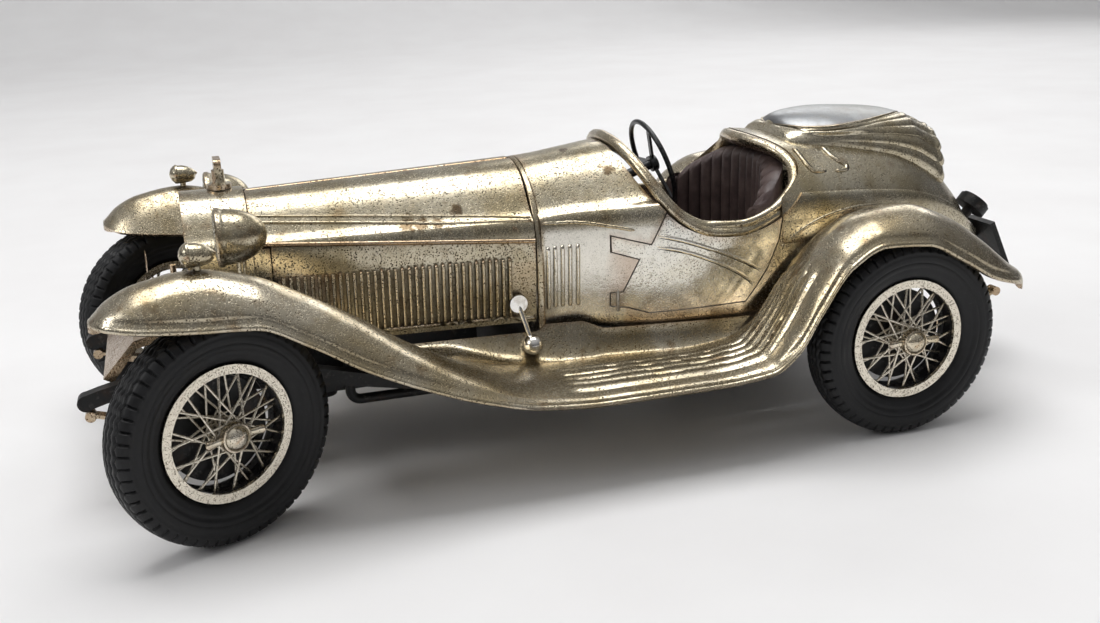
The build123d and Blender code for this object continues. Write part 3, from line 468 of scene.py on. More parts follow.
def add_piece(name, vertices, faces, material, body="car", replaced=(), sharp_angle=None):
    """A finished mesh in the CAD frame (metres), riding on a body."""
    mesh = bpy.data.meshes.new(name)
    mesh.from_pydata([tuple(v) for v in vertices], [], faces)
    bm = bmesh.new()
    bm.from_mesh(mesh)
    bmesh.ops.remove_doubles(bm, verts=bm.verts, dist=1e-7)
    bmesh.ops.recalc_face_normals(bm, faces=bm.faces)
    bm.to_mesh(mesh)
    bm.free()
    mesh.shade_smooth()
    if sharp_angle is not None:
        mesh.set_sharp_from_angle(angle=math.radians(sharp_angle))
    mesh.materials.append(material)
    piece = bpy.data.objects.new(name, mesh)
    bpy.context.scene.collection.objects.link(piece)
    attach(piece, body)
    if replaced:
        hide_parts(*replaced)
    return piece


def closed_loft(name, loops, material, body="car", replaced=(), sharp_angle=None):
    """Solid skinned over closed loops of equal length, with its two ends capped."""
    loops = np.array(loops, float)
    faces = capped_tube(*loops.shape[:2])
    return add_piece(name, to_frame(loops.reshape(-1, 3)), faces, material, body, replaced, sharp_angle)


def mirror_points(points):
    """The same points on the car's other side."""
    return np.array(points, float) * np.array([1, -1, 1])


def surface_of(*names):
    """Search tree over the skins of some CAD nodes."""
    vertices, faces = [], []
    for name in names:
        mesh = nodes[name].data
        base = len(vertices)
        vertices.extend(v.co.copy() for v in mesh.vertices)
        faces.extend(tuple(base + index for index in polygon.vertices) for polygon in mesh.polygons)
    return BVHTree.FromPolygons(vertices, faces)


def press_onto(tree, points):
    """Drawing points moved to the nearest skin, and the skin's outward directions there.

    The search starts well outside, so that it finds the outer face of a thin panel.
    """
    axis_z = 42.0     # height that the skins bulge away from
    placed, outward = [], []
    for point in np.array(points, float):
        away = np.array([0.0, point[1], max(point[2] - axis_z, 0.0)])
        away /= max(np.linalg.norm(away), 1e-6)
        start = to_frame(point + 1.5 * away)
        hit, normal, _, _ = tree.find_nearest(Vector(start))
        normal = np.array(normal)
        if normal @ away < 0:
            normal = -normal
        placed.append(to_drawing(np.array(hit)))
        outward.append(normal)
    return np.array(placed), np.array(outward)


def swept_bead(name, path, outward, profile, material, body="car", taper=0.0, replaced=(),
               closed=False):
    """A moulding: profile points (across, out) carried along a path that lies on a skin."""
    path, outward = np.array(path, float), np.array(outward, float)
    if closed:
        along = np.roll(path, -1, axis=0) - np.roll(path, 1, axis=0)
    else:
        along = np.gradient(path, axis=0)
    across = unit_rows(np.cross(outward, unit_rows(along)))
    run = np.linspace(0, 1, len(path))
    size = np.ones(len(path))
    if taper:
        size = np.clip(np.minimum(run, 1 - run) / taper, 0.02, 1) ** 0.5
    loops = [point + scale * (w * side + h * out)
             for point, side, out, scale in zip(path, across, outward, size) for w, h in profile]
    loops = np.array(loops).reshape(len(path), len(profile), 3)
    if not closed:
        return closed_loft(name, loops, material, body, replaced)
    faces = grid_faces(len(path), len(profile), close_rows=True, close_columns=True)
    return add_piece(name, to_frame(loops.reshape(-1, 3)), faces, material, body, replaced)


def half_round(width, height, sink=0.25, points=7):
    """Half-round moulding section, sunk a little into the skin."""
    angles = np.linspace(0, math.pi, points)
    top = [(width / 2 * math.cos(a), height * math.sin(a)) for a in angles]
    return [(width / 2, -sink)] + top + [(-width / 2, -sink)]


# ---- wings

crest_y = 43.5
wing_skin = 1.3
wing_stations = [   # x, inner edge (y, z), crest z, outer edge (y, z), y outward from the centre
    (-92.7, 42.0, 46.6, 47.2, 45.4, 46.7),
    (-91.8, 39.5, 46.4, 48.0, 47.5, 46.6),
    (-89.5, 36.8, 45.6, 50.2, 50.0, 46.2),
    (-84.0, 34.4, 45.0, 52.8, 51.5, 45.4),
    (-74.0, 33.0, 44.2, 54.3, 52.0, 44.6),
    (-64.0, 32.6, 43.4, 52.2, 52.0, 44.0),
    (-55.0, 32.0, 40.5, 47.8, 52.0, 39.6),
    (-45.0, 30.5, 35.0, 41.7, 52.0, 33.4),
    (-34.0, 28.5, 29.0, 34.2, 52.0, 28.0),
    (-22.0, 26.5, 24.4, 27.4, 52.0, 23.4),
    (-10.0, 25.0, 21.4, 22.8, 52.0, 20.4),
    (4.0, 24.4, 20.2, 21.4, 52.0, 19.5),
    (28.0, 26.4, 20.2, 21.4, 52.0, 19.5),
    (40.0, 27.2, 21.4, 22.8, 52.0, 20.4),
    (46.0, 27.2, 24.0, 30.0, 52.0, 24.4),
    (51.0, 27.2, 29.4, 38.8, 52.0, 32.2),
    (58.0, 27.2, 38.4, 47.3, 52.0, 41.6),
    (66.0, 27.2, 44.4, 51.2, 52.0, 45.4),
    (76.0, 27.2, 47.8, 52.2, 52.0, 44.8),
    (86.0, 27.4, 47.6, 48.8, 51.6, 40.0),
    (95.0, 28.4, 43.6, 43.0, 50.6, 35.0),
    (103.0, 31.5, 38.0, 36.6, 48.0, 32.4),
    (106.2, 34.4, 34.2, 34.4, 45.8, 31.6),
    (107.6, 37.0, 32.6, 32.8, 43.8, 31.4),
]
rib_first_y = 31.6
rib_pitch = 3.05
rib_count = 5
rib_height = 0.52
rib_front_x = -1.5
rib_rear_x = 53.5


def hermite(a, b, slope_a, slope_b, count):
    """Points from a to b with the given end directions."""
    t = np.linspace(0, 1, count)[:, None]
    return ((1 + 2 * t) * (1 - t) ** 2 * a + t * (1 - t) ** 2 * slope_a
            + t * t * (3 - 2 * t) * b + t * t * (t - 1) * slope_b)


def wing_section(row):
    """Outer face of the left wing at one station, from inner to outer edge, as (y, z) points."""
    inner_y, inner_z, crest_z, outer_y, outer_z = row
    inner = np.array([-inner_y, inner_z])
    outer = np.array([-outer_y, outer_z])
    crest = np.array([-min(crest_y, (inner_y + outer_y) / 2 + 3), crest_z])
    rise, fall = crest - inner, outer - crest
    first = hermite(inner, crest, np.array([rise[0], 1.7 * rise[1]]), np.array([rise[0], 0.0]), 60)
    second = hermite(crest, outer, np.array([1.25 * fall[0], 0.0]), np.array([0.0, 1.9 * fall[1]]), 60)
    curve = np.vstack([first, second[1:]])
    run = np.concatenate([[0], np.cumsum(np.linalg.norm(np.diff(curve, axis=0), axis=1))])
    edge_band = min(5.0, 0.4 * run[-1])
    wanted = np.concatenate([np.linspace(0, run[-1] - edge_band, 66, endpoint=False),
                             np.linspace(run[-1] - edge_band, run[-1], 24)])
    return np.column_stack([np.interp(wanted, run, curve[:, axis]) for axis in (0, 1)]), run[-1] - wanted


def edge_relief(from_edge, fullness):
    """Rolled bead at the wing's rim with a shallow flute above it."""
    bead_width, flute_width = 1.2, 2.0
    bead = 0.40 * np.sqrt(np.clip(1 - ((from_edge - bead_width / 2) / (bead_width / 2)) ** 2, 0, 1))
    into_flute = np.clip((from_edge - bead_width) / flute_width, 0, 1)
    return fullness * (bead - 0.16 * np.sin(math.pi * into_flute) ** 2)


def build_wing(side_name):
    """One casting: front wing, ribbed running board and rear wing."""
    at = smooth_through(wing_stations)
    dense_x = np.linspace(wing_stations[0][0], wing_stations[-1][0], 1200)
    crest_line = np.column_stack([dense_x, at(dense_x)[:, 2]])
    xs = respace(crest_line, 300)[:, 0]
    xs[0], xs[-1] = wing_stations[0][0], wing_stations[-1][0]
    skin_rows, from_edge = [], []
    for x, row in zip(xs, at(xs)):
        section, distance = wing_section(row)
        skin_rows.append(np.column_stack([np.full(len(section), x), section]))
        from_edge.append(distance)
    skin_rows, from_edge = np.array(skin_rows), np.array(from_edge)
    along = np.gradient(skin_rows, axis=0)
    across = np.gradient(skin_rows, axis=1)
    normal = unit_rows(np.cross(along, across))
    normal *= np.where(normal[..., 2:3].mean() < 0, -1, 1)
    x_map, y_map = skin_rows[..., 0], -skin_rows[..., 1]
    settled = band(x_map, -92.6, -90.5, 104.0, 106.5)[..., None]
    normal = unit_rows(normal * settled + np.array([0.0, 0.0, 1.0]) * (1 - settled))

    phase = (y_map - rib_first_y) / rib_pitch
    on_ribs = (phase > 0) & (phase < rib_count)
    ribs = np.where(on_ribs, rib_height * np.abs(np.sin(math.pi * phase)) ** 0.6, 0)
    ribs *= band(x_map, rib_front_x - 2.0, rib_front_x + 1.0, rib_rear_x - 1.5, rib_rear_x)
    relief = edge_relief(from_edge, 0.05 + 0.95 * band(x_map, -92.0, -86.0, 98.0, 106.0)) + ribs
    outer_face = skin_rows + normal * relief[..., None]
    inner_face = skin_rows - normal * wing_skin
    loops = np.concatenate([outer_face, inner_face[:, ::-1]], axis=1)
    if side_name == "right":
        loops = mirror_points(loops)
    closed_loft(f"wing_shell_{side_name}", loops, wing_plate, replaced=[f"wing_{side_name}"], sharp_angle=50)


for side_name in SIDES:
    build_wing(side_name)


# ---- wheels


def revolved(profile, segments):
    """Vertices (metres) and faces of a (radius, outboard) profile turned about the wheel's axis."""
    angles = np.linspace(0, 2 * math.pi, segments, endpoint=False)
    rows = [[(r * math.cos(a), -out, r * math.sin(a)) for r, out in profile] for a in angles]
    vertices = np.array(rows).reshape(-1, 3) * MM
    return vertices, grid_faces(segments, len(profile), close_rows=True, close_columns=True)


def tyre_mesh():
    """Tyre with zigzag tread ribs, shoulder blocks and ringed sidewalls."""
    half = np.array([(13.5, 2.0), (14.5, 3.1), (15.6, 3.6), (16.5, 3.75), (16.8, 4.0), (18.6, 4.28),
                     (19.9, 4.3), (20.7, 4.1), (21.5, 3.62), (22.05, 2.9), (22.35, 1.6), (22.45, 0.0)])
    flank = curve_through(half[:9], 26)
    crown = curve_through(half[8:], 20)
    outer_half = np.vstack([flank, crown[1:]])
    profile = np.vstack([outer_half, (outer_half * (1, -1))[::-1][1:]])
    blocks, per_block = 58, 6
    segments = blocks * per_block
    vertices, faces = revolved([tuple(p) for p in profile], segments)
    local = vertices / MM
    radius = np.hypot(local[:, 0], local[:, 2])
    angle = np.arctan2(local[:, 2], local[:, 0])
    out = -local[:, 1]
    from_block_middle = np.abs((angle / (2 * math.pi) * blocks) % 1 - 0.5)
    zigzag = 0.60 * (2 * from_block_middle - 0.5)
    depth = np.zeros(len(local))
    on_tread = smoothstep(radius, 21.6, 22.0)
    for groove in (-2.25, -0.75, 0.75, 2.25):
        depth += 0.55 * np.exp(-((out - groove - zigzag) / 0.20) ** 2) * on_tread
    shoulder = smoothstep(np.abs(out), 2.7, 3.0) * smoothstep(radius, 20.1, 20.5)
    depth += 0.65 * np.where(from_block_middle > 0.36, 1.0, 0.0) * shoulder
    for ring in (15.2, 17.7, 19.6):
        depth += 0.16 * np.exp(-((radius - ring) / 0.16) ** 2) * smoothstep(np.abs(out), 2.4, 3.0)
    inward = smoothstep(radius, 20.0, 21.5)     # grooves on the tread sink toward the axle, others sideways
    local[:, [0, 2]] *= ((radius - depth * inward) / radius)[:, None]
    local[:, 1] += np.sign(out) * depth * (1 - inward)
    return local * MM, faces


def hub_mesh():
    """Splined hub, domed cap with a raised ring, and two rounded knock-off ears."""
    profile = [(0.02, -1.1), (2.2, -1.1), (2.25, 3.9), (2.9, 4.1), (3.05, 4.5), (3.05, 5.3), (2.85, 5.75),
               (2.55, 5.85), (2.38, 5.6), (2.3, 5.65), (2.1, 6.15), (1.5, 6.6), (0.8, 6.85), (0.02, 6.95)]
    ear_stations = (    # distance from the axis, half width, half depth, outboard place
        (2.2, 0.95, 0.60, 4.7), (3.2, 0.80, 0.52, 4.75), (4.4, 0.78, 0.50, 4.9),
        (5.4, 0.95, 0.55, 5.1), (6.0, 0.80, 0.45, 5.2), (6.25, 0.25, 0.15, 5.25))
    ring = np.linspace(0, 2 * math.pi, 12, endpoint=False)
    vertices, faces = revolved(profile, 40)
    for way in (-1, 1):
        faces += capped_tube(len(ear_stations), len(ring), start=len(vertices))
        ear = [(way * reach, -out + half_depth * math.sin(a), half_width * math.cos(a))
               for reach, half_width, half_depth, out in ear_stations for a in ring]
        vertices = np.vstack([vertices, np.array(ear) * MM])
    return vertices, faces


def wheel_matrix(end, side_name):
    """Where a wheel drawn about the origin, outboard along -Y, stands on the car."""
    if end == "front":
        joint = joints[f"wheel_spin_{side_name}"]
        place, axis = Vector(joint["pos_m"]), Vector(joint["axis"])
    else:
        low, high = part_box(f"tyre_rear_{side_name}")
        place, axis = (low + high) / 2, Vector((0, 1, 0))
    turn = math.atan2(-axis.x, axis.y)
    if side_name == "right":
        turn += math.pi
    return Matrix.Translation(place) @ Matrix.Rotation(turn, 4, "Z")


def add_on_wheels(name, mesh, material, replaced=""):
    """The same piece on each of the four wheels; replaced names the CAD piece whose place it takes."""
    vertices, faces = mesh
    for end in ("front", "rear"):
        for side_name in SIDES:
            corner = f"{end}_{side_name}"
            matrix = np.array(wheel_matrix(end, side_name))
            placed = vertices @ matrix[:3, :3].T + matrix[:3, 3]
            body = f"wheel_{corner}" if end == "front" else "rear_wheels"
            add_piece(f"{name}_{corner}", placed, faces, material, body,
                      [f"{replaced}_{corner}"] if replaced else (), 40)


add_on_wheels("tyre_detail", tyre_mesh(), tyre_rubber, "tyre")
add_on_wheels("hub_detail", hub_mesh(), hub_plate, "hub")


# ---- mouldings, louvres and coaming

body_stations = [   # x, half width, top, height of the widest line
    (22.0, 22.8, 65.0, 42.0), (44.0, 25.6, 64.8, 42.0), (66.0, 26.4, 62.2, 42.0),
    (86.0, 25.0, 60.0, 41.0), (102.0, 20.5, 55.5, 38.0), (112.0, 16.0, 48.0, 34.0), (119.0, 11.5, 38.5, 31.5),
]
bonnet_stations = [(-61.0, 14.6, 60.0, 44.0), (-31.25, 17.0, 61.1, 43.0), (-1.5, 19.4, 62.2, 42.0)]
hull_at = smooth_through(bonnet_stations + body_stations)


def flank_point(x, z):
    """Left flank point near the skin at x and height z."""
    half_width, top, belt = hull_at(x)[0]
    lift = np.clip((z - belt) / (top - belt), 0, 1)
    return (x, -half_width * math.sqrt(1 - lift * lift), z)


bonnet_skin = {side_name: surface_of(f"bonnet_top_{side_name}") for side_name in SIDES}
side_skin = {side_name: surface_of(f"bonnet_side_{side_name}") for side_name in SIDES}
body_skin = {side_name: surface_of("body_shell", f"door_{side_name}") for side_name in SIDES}


def on_side(points, side_name):
    """Left-side points, mirrored for the right side."""
    return mirror_points(points) if SIDES[side_name] > 0 else np.array(points, float)


def add_moulding(name, points, width, height, skins, body, material, count=60, taper=0.05):
    """The same half-round moulding on both flanks; body may hold {} for the side's name."""
    line = [flank_point(x, z) for x, z in curve_through(points, count)]
    for side_name in SIDES:
        path, outward = press_onto(skins[side_name], on_side(line, side_name))
        swept_bead(f"{name}_{side_name}", path, outward, half_round(width, height, 0.3), material,
                   body.format(side_name), taper)


def add_louvres(name, first_x, pitch, count, low_z, high_z, width, height, skins, body, material):
    """A row of upright half-round louvres with rounded ends, joined as one piece on each flank."""
    round_share = 0.06      # part of the length that each rounded end takes
    steps = np.concatenate([np.linspace(0, round_share, 5), np.linspace(0.12, 0.88, 7),
                            np.linspace(1 - round_share, 1, 5)])
    from_end = np.minimum(np.minimum(steps, 1 - steps) / round_share, 1.0)
    fullness = np.sqrt(1 - (1 - from_end) ** 2)
    profile = half_round(width, height, 0.35, 8)
    forward = np.array([1.0, 0, 0])
    for side_name in SIDES:
        vertices, faces = [], []
        for index in range(count):
            x = first_x + index * pitch
            line = [flank_point(x, low_z + (high_z - low_z) * step) for step in steps]
            path, outward = press_onto(skins[side_name], on_side(line, side_name))
            path[:, 0] = x
            faces += capped_tube(len(path), len(profile), start=len(vertices))
            for point, out, full in zip(path, outward, fullness):
                for w, h in profile:
                    lifted = h * full if h > 0 else h
                    vertices.append(point + w * (0.55 + 0.45 * full) * forward + lifted * out)
        add_piece(f"{name}_{side_name}", to_frame(vertices), faces, material, body.format(side_name))


def build_mouldings():
    """Beads and creases along the bonnet, scuttle and doors."""
    for name, line, width, height, skins, body in (
            ("bonnet_crease_upper", [(-60.6, 56.0), (-32.0, 54.3), (-1.9, 52.2)], 0.55, 0.28, bonnet_skin,
             "bonnet_top_{}"),
            ("bonnet_crease_lower", [(-60.6, 54.9), (-32.0, 53.1), (-1.9, 51.0)], 0.7, 0.34, bonnet_skin,
             "bonnet_top_{}"),
            ("bonnet_foot_bead", [(-57.4, 29.0), (-1.9, 28.9)], 1.1, 0.42, side_skin, "bonnet_side_{}")):
        add_moulding(name, line, width, height, skins, body, plate, taper=0.0)
    add_louvres("bonnet_louvres", -55.6, 1.46, 34, 29.9, 43.6, 0.90, 0.62, side_skin, "bonnet_side_{}", plate)
    add_louvres("scuttle_louvres", 1.4, 1.75, 5, 30.4, 45.0, 0.95, 0.55, body_skin, "car", bright_plate)


build_mouldings()

rim_plan = [    # middle of the rolled rim on the left side: x, distance from the centre line, height
    (22.0, 0.0, 65.2), (22.6, 6.0, 64.5), (24.0, 12.0, 62.2), (26.3, 17.6, 57.9), (28.8, 20.9, 53.4),
    (32.6, 22.9, 49.4), (38.6, 24.4, 46.7), (46.0, 25.1, 46.3), (53.0, 24.9, 48.4), (58.4, 23.3, 51.8),
    (61.4, 21.2, 55.0), (62.1, 18.6, 57.6), (61.4, 15.0, 59.8), (59.6, 11.0, 61.4), (57.8, 7.0, 62.2),
    (56.7, 3.5, 62.6), (56.3, 0.0, 62.7),
]


def rim_loop(count):
    """Closed loop along the middle of the cockpit's rolled rim, and its outward directions."""
    left = curve_through([(x, -y, z) for x, y, z in rim_plan], count)
    left[0, 1] = left[-1, 1] = 0.0
    loop = np.vstack([left, mirror_points(left)[::-1][1:-1]])
    outward = []
    for x, y, z in loop:
        half_width, top, belt = hull_at(x)[0]
        lift = max(z - belt, 0.0) / (top - belt)
        outward.append((0.05, y / half_width ** 2, lift / (top - belt)))
    return loop, unit_rows(np.array(outward))


def build_coaming():
    """Rolled double rim of the cockpit opening."""
    loop, outward = rim_loop(100)
    profile = [(1.7, -1.6), (1.85, -0.7), (1.75, 0.25), (1.3, 0.80), (0.75, 0.85), (0.30, 0.48), (0.10, 0.30),
               (-0.10, 0.48), (-0.55, 0.98), (-1.2, 1.05), (-1.75, 0.55), (-1.95, -0.25), (-1.8, -1.1),
               (-1.2, -1.6)]
    swept_bead("coaming_roll", loop, outward, profile, plate, replaced=["coaming"], closed=True)


build_coaming()


# ---- fillers between the panels


def hull_height(x, y):
    """Height of the body or bonnet skin over a point near the centre."""
    half_width, top, belt = hull_at(x)[0]
    return belt + (top - belt) * math.sqrt(max(0.0, 1 - (y / half_width) ** 2))


def hull_section(x, grow, foot_z, count):
    """Arch of the skin at x from the left foot over the top to the right foot."""
    half_width, top, belt = hull_at(x)[0]
    half_width, rise = half_width + grow, top - belt + grow
    arch = [(x, half_width * math.cos(a), belt + rise * math.sin(a)) for a in np.linspace(math.pi, 0, count)]
    left = [(x, -half_width, z) for z in np.linspace(foot_z, belt, 8, endpoint=False)]
    right = [(x, half_width, z) for z in np.linspace(belt, foot_z, 9)[1:]]
    return left + arch + right


def build_scuttle_lip():
    """Narrow ledge under the bonnet's rear edge, so that only a thin shut line shows."""
    outline = ((-1.12, -0.9), (-1.12, -0.12), (-0.95, 0.0), (-0.2, 0.0), (0.25, -0.05), (0.25, -0.9))
    loops = [hull_section(x, grow, 25.0, 61) for x, grow in outline]
    loops = np.array(loops).transpose(1, 0, 2)
    closed_loft("scuttle_lip", loops, plate)


def build_flanges():
    """Inner flange of each wing, which closes the gap to the bonnet's foot and to the sill."""
    at = smooth_through(wing_stations)
    thickness = 0.7
    t = np.linspace(0, 1, 18)[:, None]
    loops = []
    for x in np.linspace(-47.0, 58.0, 90):
        inner_y, inner_z = at(x)[0][:2]
        under_body = float(smoothstep(x, 8.0, 14.0))
        beside_bonnet = 1 - float(smoothstep(x, -1.4, -0.2))    # lower beside the hinged bonnet side
        top_z = 27.7 - 2.1 * under_body - 1.5 * beside_bonnet
        top_y = hull_at(x)[0][0] + 0.35 - 0.12 * under_body
        start = np.array([inner_y + 0.9, inner_z - 0.55])
        low = np.array([top_y + 1.6 - 0.9 * under_body, min(inner_z - 0.8, 23.6 - 2.9 * under_body)])
        curve = (1 - t) ** 2 * start + 2 * t * (1 - t) * low + t * t * np.array([top_y, top_z])
        along = np.gradient(curve, axis=0)
        away = unit_rows(np.column_stack([along[:, 1], -along[:, 0]]))
        loop = np.vstack([curve, (curve - thickness * away)[::-1]])
        loops.append(np.column_stack([np.full(len(loop), x), -loop[:, 0], loop[:, 1]]))
    for side_name in SIDES:
        closed_loft(f"wing_flange_{side_name}", on_side(loops, side_name), wing_plate, sharp_angle=50)


build_scuttle_lip()
build_flanges()


# ---- folded hood and seat

deck_fullness = smooth_through([   # x, how square the section is, extra height
    (56.0, 2.45, 0.7), (62.0, 2.55, 0.9), (76.0, 2.65, 1.3), (90.0, 2.6, 1.4), (102.0, 2.3, 0.9),
    (113.0, 2.0, 0.12),
])


def deck_height(x, y):
    """Height of the full-sectioned rear deck."""
    half_width, top, belt = hull_at(x)[0]
    power, extra = deck_fullness(x)[0]
    return belt + (top - belt + extra) * max(0.0, 1 - abs(y / (half_width + 0.15)) ** power) ** (1 / power)


def build_deck():
    """Rear deck skin behind the cockpit, flatter on top and rounder at the shoulder."""
    rim = curve_through([(x, -y, z) for x, y, z in rim_plan], 400)
    rear_rim = rim[np.argmin(rim[:, 2]):]
    shoulder_y, shoulder_front_x, tail_x = 24.6, 55.4, 112.8
    loops = []
    for u in np.linspace(0, 1, 110):
        row = []
        for angle in np.linspace(-1, 1, 91):
            half_share = math.sin(abs(angle) * math.pi / 2)
            rim_y = half_share * 26.0
            start_x = shoulder_front_x
            if rim_y < shoulder_y:
                start_x = float(np.interp(rim_y, -rear_rim[::-1, 1], rear_rim[::-1, 0]))
            x = start_x + (tail_x - start_x) * u
            half_width, _, belt = hull_at(x)[0]
            y = math.copysign(half_share * (half_width + 0.15), angle)
            row.append((x, y, deck_height(x, y) if half_share < 1 else belt))
        loops.append(row)
    top = np.array(loops)
    inner = top * np.array([1, 0.965, 1]) - np.array([0, 0, 1.1])
    closed_loft("rear_deck", np.concatenate([top, inner[:, ::-1]], axis=1), body_plate, sharp_angle=50)


hood_front_x = 62.9
hood_centre_at = smooth_through([    # x, height of the middle line
    (hood_front_x, 62.6), (63.6, 63.8), (64.6, 65.4), (66.0, 66.7), (68.0, 67.5), (71.0, 68.0), (78.0, 68.4),
    (89.0, 67.8), (96.0, 66.9), (101.0, 65.4), (106.0, 63.2), (110.5, 60.2),
])
hood_ridge_at = smooth_through([     # x, ridge's distance from the middle and height
    (hood_front_x, 0.6, 62.5), (64.6, 1.2, 65.3), (66.4, 6.2, 65.2), (69.0, 9.6, 64.9), (72.5, 12.0, 64.9),
    (77.0, 13.2, 65.2), (81.0, 13.0, 65.5), (84.5, 12.0, 65.7), (92.0, 8.8, 66.1), (98.0, 4.8, 66.2),
    (102.0, 0.6, 65.0), (110.5, 0.3, 60.2),
])
hood_foot_at = smooth_through([      # x, foot's distance from the middle
    (hood_front_x, 10.2), (66.0, 12.4), (71.0, 13.6), (76.0, 14.4), (84.0, 15.4), (92.0, 15.8), (100.0, 15.2),
    (106.0, 14.4), (110.5, 13.6),
])
hood_pleats = 5


def ridge_line(value, middle, width):
    """A rounded ridge of height one along value = middle."""
    return np.exp(-((value - middle) / width) ** 2)


def hood_surface(across, along):
    """Left half of the hood's outer face: across 0 at the centre to 1 at the foot, along 0 to 1."""
    fold = max(across - 0.5, 0.0) / 0.5
    wave = abs(math.sin(math.pi * hood_pleats * fold)) ** 0.8
    end_x = 108.2 - 2.8 * fold + 0.6 * (wave - 0.5) * (across > 0.5)
    xs = hood_front_x + (end_x - hood_front_x) * along
    points = []
    for x, t in zip(xs, along):
        centre_z = hood_centre_at(x)[0, 0]
        ridge_y, ridge_z = hood_ridge_at(x)[0]
        foot_y = hood_foot_at(x)[0, 0]
        foot_z = deck_height(x, foot_y) - 0.4
        if across <= 0.5:
            reach = across / 0.5
            y = ridge_y * reach
            z = centre_z + (ridge_z - centre_z) * reach ** 2.2
        else:
            y = ridge_y + (foot_y - ridge_y) * math.sin(fold * math.pi / 2) ** 0.9
            z = foot_z + (ridge_z - foot_z) * math.cos(fold * math.pi / 2) ** 0.95
        rise = math.sqrt(max(0.0, 1 - (1 - min(t / 0.06, 1.0)) ** 2))
        base_z = min(deck_height(x, y) - 0.5, z)
        points.append((x, -y, base_z + (z - base_z) * rise))
    return points


def hood_sheet(across, along):
    """Both halves of the hood's outer face, as rows of points from the left foot to the right one."""
    left = np.array([hood_surface(s, along) for s in across]).transpose(1, 0, 2)
    return np.concatenate([left[:, ::-1], mirror_points(left)[:, 1:]], axis=1)


def build_hood():
    """Folded canvas cast in metal: a smooth top panel, a double ridge and pleats fanned to the rear."""
    along = np.concatenate([np.linspace(0, 0.06, 10, endpoint=False), np.linspace(0.06, 1, 110)])
    across = np.concatenate([np.linspace(0, 0.44, 24, endpoint=False),
                             np.linspace(0.44, 0.5, 12, endpoint=False), np.linspace(0.5, 1, 90)])
    skin = hood_sheet(across, along)
    x_map = skin[..., 0]
    share = np.concatenate([across[::-1], across[1:]])[None, :]
    normal = unit_rows(np.cross(np.gradient(skin, axis=1), np.gradient(skin, axis=0)))
    normal *= -1 if normal[60, share.size // 2, 2] < 0 else 1
    fold = np.clip(share - 0.5, 0, 1) / 0.5
    pleats = np.abs(np.sin(math.pi * hood_pleats * fold)) ** 0.5 - 0.75
    relief = 0.65 * smoothstep(x_map, 74.0, 104.0) * pleats * (fold > 0)
    relief += band(x_map, 66.0, 72.0, 76.0, 90.0) * (0.55 * ridge_line(fold, 0.42, 0.10)
                                                     - 0.60 * ridge_line(fold, 0.20, 0.09))
    relief += 0.55 * ridge_line(share, 0.492, 0.018) * band(x_map, 64.0, 67.0, 95.0, 100.0)
    relief += 0.45 * ridge_line(along, 0.975, 0.014)[:, None]
    outer_face = skin + normal * relief[..., None]
    inner_face = skin - normal * 1.5
    loops = np.concatenate([outer_face, inner_face[:, ::-1]], axis=1)
    closed_loft("folded_hood_shell", loops, plate, replaced=["folded_hood"], sharp_angle=60)

    top = hood_sheet(np.linspace(0, 0.470, 20), np.linspace(0.05, 0.80, 80)) + np.array([0, 0, 0.15])
    loops = np.concatenate([top, (top - np.array([0, 0, 0.6]))[:, ::-1]], axis=1)
    closed_loft("hood_top_panel", loops, panel_plate, sharp_angle=50)


seat_side_x, seat_side_y = 48.0, 24.5     # ends of the squab's arc
seat_rear_x = 60.8                        # its middle
squab_foot_z = 33.2
squab_pleats = 17
cushion_pleats = 15


def squab_front(v, phase):
    """How far the squab stands forward of its arc, at v from foot to top and phase across a pleat."""
    roll_start = 0.90
    roll = max(0.0, (v - roll_start) / (1 - roll_start))
    bulge = 0.225 * math.sin(math.pi * v / roll_start) ** 0.5 if v < roll_start else 0.0
    back = 3.6 * (1 - math.sqrt(max(0.0, 1 - roll * roll)))
    return (0.35 + 1.05 * phase ** 0.7) * (1 - roll) + bulge - back


def build_seat_back():
    """Pleated squab that curves round behind the two seats."""
    depth = seat_rear_x - seat_side_x
    radius = (depth ** 2 + seat_side_y ** 2) / (2 * depth)
    centre_x = seat_rear_x - radius
    reach = math.asin(seat_side_y / radius)
    loops = []
    for a in np.linspace(-1, 1, squab_pleats * 12 + 1):
        phase = abs(math.sin(math.pi * squab_pleats * (a + 1) / 2))
        out_x, out_y = math.cos(a * reach), math.sin(a * reach)
        top_z = hull_height(centre_x + radius * out_x, min(abs(radius * out_y), 22.5)) - 2.6
        section = [(radius - squab_front(v, phase), v) for v in np.linspace(0, 1, 40)]
        section += [(radius + 3.7, v) for v in np.linspace(1, 0, 6)]
        loop = []
        for r, v in section:
            x, y, z = centre_x + r * out_x, r * out_y, squab_foot_z + (top_z - squab_foot_z) * v
            half_width, top, belt = hull_at(x)[0]
            lift = min(max((z - belt) / (top - belt), 0), 1)
            limit = half_width * math.sqrt(1 - lift * lift) - 1.7
            loop.append((x, max(-limit, min(limit, y)), z))
        loops.append(loop)
    closed_loft("seat_squab", loops, vinyl, replaced=["seat_back"], sharp_angle=50)


